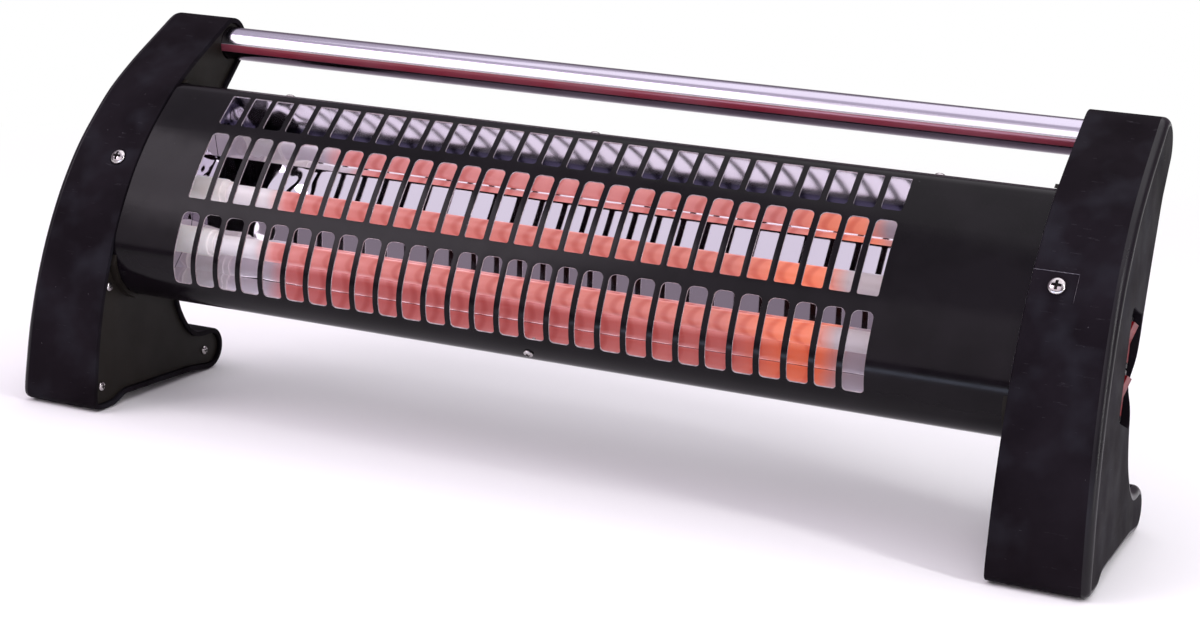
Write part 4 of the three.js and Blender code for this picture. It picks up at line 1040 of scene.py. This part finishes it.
def slotted_form(path, x_low, x_high, columns, rows, rounds, width, step):
    """A single skin along the path with rounded slots. Columns are middles on X, rows are
    (low, high) places on the path, rounds the corner radii at these two. Each slot sits in
    a cell that reaches half of the bar to its neighbours, and a ring of faces joins the
    cell's border to the slot."""
    form = bmesh.new()
    made = {}

    def vertex(x, place):
        key = (round(x / GRID), round(place / GRID))
        if key not in made:
            point = path.at(place)
            made[key] = form.verts.new((x, point.x, point.y))
        return made[key]

    pitch = columns[1] - columns[0]
    margin = min((pitch - width) / 2, ROW_MARGIN)
    side_margin = (pitch - width) / 2
    corner_steps = 5
    largest = max(max(pair) for pair in rounds)

    def side_stops(low, high, reach):
        """Border places of a cell between low and high whose slot begins at reach."""
        inner = stops_between(low + reach, high - reach, step)
        edge = [low + reach * k / corner_steps for k in range(corner_steps)]
        far = [high - reach * k / corner_steps for k in range(corner_steps)]
        return merged_stops(edge + inner + far)

    x_stops = []
    for column in columns:
        x_stops += side_stops(column - pitch / 2, column + pitch / 2, side_margin + largest)
    x_stops += stops_between(x_low, columns[0] - pitch / 2, 4 * step)
    x_stops += stops_between(columns[-1] + pitch / 2, x_high, 4 * step)
    x_stops = merged_stops(x_stops)
    cells = [(low - margin, high + margin) for low, high in rows]
    place_stops = []
    before = 0.0
    for low, high in cells:
        place_stops += stops_between(before, low, step)
        place_stops += side_stops(low, high, margin + largest)
        before = high
    place_stops += stops_between(before, path.length, step)
    place_stops = merged_stops(place_stops)

    def in_cells(x, place):
        in_x = columns[0] - pitch / 2 < x < columns[-1] + pitch / 2
        return in_x and any(low < place < high for low, high in cells)

    for x_a, x_b in zip(x_stops, x_stops[1:]):
        for a, b in zip(place_stops, place_stops[1:]):
            if not in_cells((x_a + x_b) / 2, (a + b) / 2):
                form.faces.new((vertex(x_a, a), vertex(x_b, a), vertex(x_b, b), vertex(x_a, b)))

    def ring_of(column, low, high, low_round, high_round):
        """Pairs of border and slot places, round one cell."""
        x_a, x_b = column - pitch / 2, column + pitch / 2
        on_x = [x for x in x_stops if x_a - GRID <= x <= x_b + GRID]
        on_place = [p for p in place_stops if low - GRID <= p <= high + GRID]
        border = [(x, low) for x in on_x[:-1]] + [(x_b, p) for p in on_place[:-1]]
        border += [(x, high) for x in on_x[:0:-1]] + [(x_a, p) for p in on_place[:0:-1]]
        middle = (low + high) / 2
        half_x, half_place = width / 2, (high - low) / 2 - margin
        pairs = []
        for x, place in border:
            dx, dp = x - column, place - middle
            radius = low_round if dp < 0 else high_round
            core_x = max(-half_x + radius, min(half_x - radius, dx))
            core_p = max(-half_place + low_round, min(half_place - high_round, dp))
            out_x, out_p = dx - core_x, dp - core_p
            if abs(out_x) > TINY and abs(out_p) > TINY:
                size = math.hypot(out_x, out_p)
                inner = (column + core_x + radius * out_x / size,
                         middle + core_p + radius * out_p / size)
            elif abs(out_x) > TINY:
                inner = (column + math.copysign(half_x, out_x), place)
            else:
                inner = (x, middle + math.copysign(half_place, out_p))
            pairs.append(((x, place), inner))
        return pairs

    for column in columns:
        for (low, high), pair in zip(cells, rounds):
            pairs = ring_of(column, low, high, *pair)
            for (a, a_in), (b, b_in) in zip(pairs, pairs[1:] + pairs[:1]):
                form.faces.new((vertex(*a), vertex(*b), vertex(*b_in), vertex(*a_in)))
    return form


def thickened(made, node, thickness):
    """Gives a skin its thickness on its inner side and softens the edges of its slots."""
    paint(made, slot_of_node[node], "punched_edge")
    step = made.modifiers.new("thick", "SOLIDIFY")
    step.thickness = thickness
    step.offset = -1.0
    step.use_even_offset = True
    step.material_offset_rim = 1
    flat_copy(made)
    return softened(made, SHEET_EDGE, angle=60.0)


def face_outwards(made, path):
    """Turns the skin's faces away from the middle of the body."""
    centre = sum(path.points, Vector((0, 0))) / len(path.points)
    face = made.data.polygons[0]
    away = Vector((0, face.center.y - centre.x, face.center.z - centre.y))
    if face.normal.dot(away) < 0:
        made.data.flip_normals()


def rising_path(node):
    """The sheet's outer line, from its lower to its upper edge."""
    _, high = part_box(node)
    path = Path(smoothed(strip_path(node, high.x), steps=4))
    if path.points[0].y > path.points[-1].y:
        path = Path(path.points[::-1])
    return path


def row_of(count, pitch, middle=0.0):
    return [middle + (i - (count - 1) / 2) * pitch for i in range(count)]


def slotted_sheet(node, path, columns, rows, rounds, width, step):
    low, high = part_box(node)
    form = slotted_form(path, low.x, high.x, columns, rows, rounds, width, step)
    made = new_object(node + "_fine", form)
    face_outwards(made, path)
    thickened(made, node, SHEET)
    return dressed(made, node, angle=50.0)


def front_sheet():
    path = rising_path("front_sheet")
    columns = row_of(SLOT_COUNT, SLOT_PITCH, SLOT_FIELD_MIDDLE)
    rows = [[path.place_at_height(FLOOR_TO_SOLE + height) for height in row]
            for row in SLOT_ROWS]
    return slotted_sheet(
        "front_sheet", path, columns, rows, SLOT_ROUNDS, SLOT_PITCH - SLOT_BAR, SLOT_STEP)


def back_panel():
    low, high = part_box("back_panel")
    path = rising_path("back_panel")
    middle = path.place_at_height((low.z + high.z) / 2)
    columns = row_of(VENT_COUNT, VENT_PITCH)
    rows = [[middle + side * VENT_SPACING / 2 - VENT_HEIGHT / 2,
             middle + side * VENT_SPACING / 2 + VENT_HEIGHT / 2] for side in (-1, 1)]
    return slotted_sheet(
        "back_panel", path, columns, rows, VENT_ROUNDS, VENT_LENGTH, VENT_STEP)


# Round pieces

def turned_along_x(node, profile, segments, angle):
    middle = centre_of(node)
    along_x = Matrix(((0, 0, 1, 0), (1, 0, 0, middle.y), (0, 1, 0, middle.z), (0, 0, 0, 1)))
    made = new_object(node + "_fine", turned(profile, along_x, segments))
    return dressed(made, node, angle)


def tube(node, wall, segments):
    low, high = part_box(node)
    radius = radius_of(node)
    bore = radius - wall
    profile = rounded_profile(
        [(bore, low.x), (radius, low.x), (radius, high.x), (bore, high.x)], TUBE_ROUND)
    return turned_along_x(node, profile, segments, angle=50.0)


def handle_tube():
    return tube("handle_tube", HANDLE_WALL, segments=96)


def quartz_tube(level):
    return tube("quartz_tube_" + level, TUBE_WALL, segments=64)


def end_cap(level, side, sign):
    """A turned ceramic cap: a nose over the tube, a body and a groove near its outer end."""
    node = f"end_cap_{level}_{side}"
    low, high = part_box(node)
    inner, outer = (low.x, high.x) if sign > 0 else (high.x, low.x)
    radius = radius_of(node)
    bore = radius_of("quartz_tube_" + level) + FIT
    nose = radius - CAP_NOSE_STEP
    nose_end = inner + sign * CAP_NOSE_LENGTH
    socket = inner + sign * CAP_SOCKET
    groove = radius - CAP_GROOVE_DEPTH
    groove_start, groove_end = (outer - sign * place for place in CAP_GROOVE_PLACES)
    profile = rounded_profile([
        (bore, inner), (nose, inner), (nose, nose_end), (radius, nose_end),
        (radius, groove_start), (groove, groove_start), (groove, groove_end),
        (radius, groove_end), (radius, outer), (CAP_WIRE_HOLE, outer),
        (CAP_WIRE_HOLE, socket), (bore, socket),
    ], CAP_ROUND, steps=3)
    return turned_along_x(node, profile, segments=48, angle=40.0)


def cord_gland():
    """A rubber bush with a flange, ribs that let it bend, and a tapering nose."""
    _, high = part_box("cord_gland")
    nose = high.y - gland_matrix().translation.y
    tip = GLAND_BORE + GLAND_FLANGE
    flange_top = FIT + GLAND_FLANGE_THICKNESS
    corners = [
        (GLAND_BORE, -GLAND_TAIL), (GLAND_RADIUS, -GLAND_TAIL), (GLAND_RADIUS, FIT),
        (GLAND_RADIUS + GLAND_FLANGE, FIT), (GLAND_RADIUS + GLAND_FLANGE, flange_top)]
    length = (nose - flange_top) / GLAND_RIBS
    for i in range(GLAND_RIBS):
        radius = GLAND_RADIUS + (tip - GLAND_RADIUS) * i / GLAND_RIBS
        valley = radius - GLAND_RIB_DEPTH
        start = flange_top + i * length
        rise = start + GLAND_VALLEY_SHARE * length
        corners += [(valley, start), (valley, rise), (radius, rise), (radius, start + length)]
    corners.append((GLAND_BORE, nose))
    profile = rounded_profile(corners, GLAND_ROUND, steps=3)
    made = new_object("cord_gland_fine", turned(profile, gland_matrix(), segments=56))
    return dressed(made, "cord_gland", angle=45.0)


# Screws

def screw_frame(node):
    """A screw's seat, outward direction, head radius, head height and shank length."""
    form = merged(node)
    points = np.array([v.co[:] for v in form.verts])
    form.free()
    middle = points.mean(0)
    _, _, directions = np.linalg.svd(points - middle)
    axis = directions[0]
    along = (points - middle) @ axis
    radial = np.linalg.norm(points - middle - np.outer(along, axis), axis=1)
    wide = along[radial > 0.9 * radial.max()].mean()
    if wide < (along.min() + along.max()) / 2:
        axis, along = -axis, -along
    head = radial.max()
    seat = along[radial > 0.97 * head].min()
    place = middle + axis * seat
    on_axis = points[np.argmin(radial + np.where(along < along.max() - GRID, 1, 0))]
    place = place + (on_axis - middle) - axis * ((on_axis - middle) @ axis)
    return Vector(place), Vector(axis), head, along.max() - seat, seat - along.min()


def cross_arm(radius, height, turned_over):
    """One tapering arm of the cross in a head that lies along the third axis."""
    rings = []
    for level, reach, half in CROSS_SHARES:
        corners = [(reach, half), (-reach, half), (-reach, -half), (reach, -half)]
        rings.append([
            Vector((-y, x, 0) if turned_over else (x, y, 0)) * radius
            + Vector((0, 0, level * height)) for x, y in corners])
    arm = new_object("arm", rings_to_form(rings))
    # The cross recess gets the painted shade finish.
    paint(arm, "painted_drive_shade")
    return arm


def screw(node):
    place, axis, head, height, shank_length = screw_frame(node)
    shank = head * SHANK_SHARE
    edge_low, edge_high = (height * share for share in HEAD_EDGE_SHARES)
    profile = [
        (0.0, -shank_length), (shank * TIP_WIDTH_SHARE, -shank_length),
        (shank, -shank_length * TIP_START_SHARE), (shank, 0.0), (head * HEAD_FOOT_SHARE, 0.0),
        (head, edge_low), (head, edge_high)]
    for turn in quarter(HEAD_STEPS)[1:-1]:
        crown = (height - edge_high) * math.sin(turn)
        profile.append((head * math.cos(turn), edge_high + crown))
    profile.append((0.0, height))
    made = new_object(node + "_fine", turned(profile, Matrix.Identity(4), segments=40))
    paint(made, "screw_steel")
    for turned_over in (False, True):
        cut(made, cross_arm(head, height, turned_over))
    turn = axis.to_track_quat("Z", "Y").to_matrix().to_4x4()
    made.data.transform(Matrix.Translation(place) @ turn)
    return dressed(made, node, angle=35.0)


# Build

SIDES = {"right": 1, "left": -1}
for side, sign in SIDES.items():
    leg(side, sign)
front_sheet()
back_panel()
handle_tube()
cord_gland()
for level in ("upper", "lower"):
    quartz_tube(level)
    for side, sign in SIDES.items():
        end_cap(level, side, sign)
for node in list(frame["nodes"]):
    if "screw" in node:
        screw(node)
for node, shape in frame["nodes"].items():
    if not shape.hide_render:
        widths = [width for kind, width in SOFT_EDGES.items() if node.startswith(kind)]
        refined(node, sum(widths), MIRROR_FOLD if "reflector" in node else 35.0)


# Stage, light and camera

def seen_share(tree):
    """1 for rays that show the surface to the eye, in a mirror or through glass, else 0."""
    path = add(tree, "LightPath")
    sums = path.outputs["Is Camera Ray"]
    for name in ("Is Glossy Ray", "Is Transmission Ray"):
        sums = add(tree, "Math", {0: sums, 1: path.outputs[name]}, operation="ADD",
                   use_clamp=True).outputs[0]
    return sums


def floor():
    """A pale floor that keeps the shadow near the heater and fades to white around it."""
    form = bmesh.new()
    bmesh.ops.create_grid(form, x_segments=1, y_segments=1, size=FLOOR_SIZE / 2)
    made = new_object("floor", form)
    tree = new_material(
        "pale_floor", Base_Color=(0.93, 0.93, 0.93, 1.0), Roughness=0.9, Specular_IOR_Level=0.1)
    away = vector_node(tree, "LENGTH", place_of(tree))["Value"]
    fade = span(tree, away, SHADOW_REACH, 2 * SHADOW_REACH, 0.0, 1.0)
    share = math_node(tree, "MULTIPLY", fade, seen_share(tree))
    white = add(tree, "Emission", {"Color": (1.0, 1.0, 1.0, 1.0)}).outputs[0]
    plain = tree.nodes["Principled BSDF"].outputs[0]
    mixed = add(tree, "MixShader", {0: share, 1: plain, 2: white}).outputs[0]
    tree.links.new(mixed, tree.nodes["Material Output"].inputs["Surface"])
    paint(made, "pale_floor")


def world():
    """A pale lilac sky over a darker horizon."""
    made = bpy.data.worlds.new("studio")
    bpy.context.scene.world = made
    made.use_nodes = True
    tree = made.node_tree
    background = tree.nodes["Background"]
    color = ramp(tree, part_of(tree, "Z", "Generated"),
                 (0.0, HORIZON), (0.55, HORIZON), (0.74, SKY), (1.0, SKY))
    tree.links.new(color, background.inputs["Color"])
    background.inputs["Strength"].default_value = 1.0


def area_lamp(name, place, target, size, power, color):
    data = bpy.data.lights.new(name, "AREA")
    data.shape = "RECTANGLE"
    data.size, data.size_y = size
    data.energy = power
    data.color = color
    made = bpy.data.objects.new(name, data)
    made.location = place
    made.rotation_euler = (Vector(target) - Vector(place)).to_track_quat("-Z", "Y").to_euler()
    bpy.context.scene.collection.objects.link(made)


def camera():
    data = bpy.data.cameras.new("camera")
    data.sensor_width = SENSOR_WIDTH
    data.lens = FOCAL_PIXELS / PHOTO_WIDTH * SENSOR_WIDTH
    data.clip_start = CLIP_START
    data.clip_end = CLIP_END
    made = bpy.data.objects.new("camera", data)
    forward = Vector((
        -math.sin(CAMERA_AZIMUTH) * math.cos(CAMERA_ELEVATION),
        math.cos(CAMERA_AZIMUTH) * math.cos(CAMERA_ELEVATION), -math.sin(CAMERA_ELEVATION)))
    level = Vector((math.cos(CAMERA_AZIMUTH), math.sin(CAMERA_AZIMUTH), 0))
    upright = level.cross(forward)
    right = level * math.cos(CAMERA_ROLL) + upright * math.sin(CAMERA_ROLL)
    up = right.cross(forward)
    turn = Matrix((right, up, -forward)).transposed().to_4x4()
    made.matrix_world = Matrix.Translation(CAMERA_PLACE) @ turn
    bpy.context.scene.collection.objects.link(made)
    bpy.context.scene.camera = made


floor()
world()
for name, lamp in LAMPS.items():
    area_lamp(name, *lamp)
camera()
bpy.context.scene.view_settings.view_transform = "Standard"
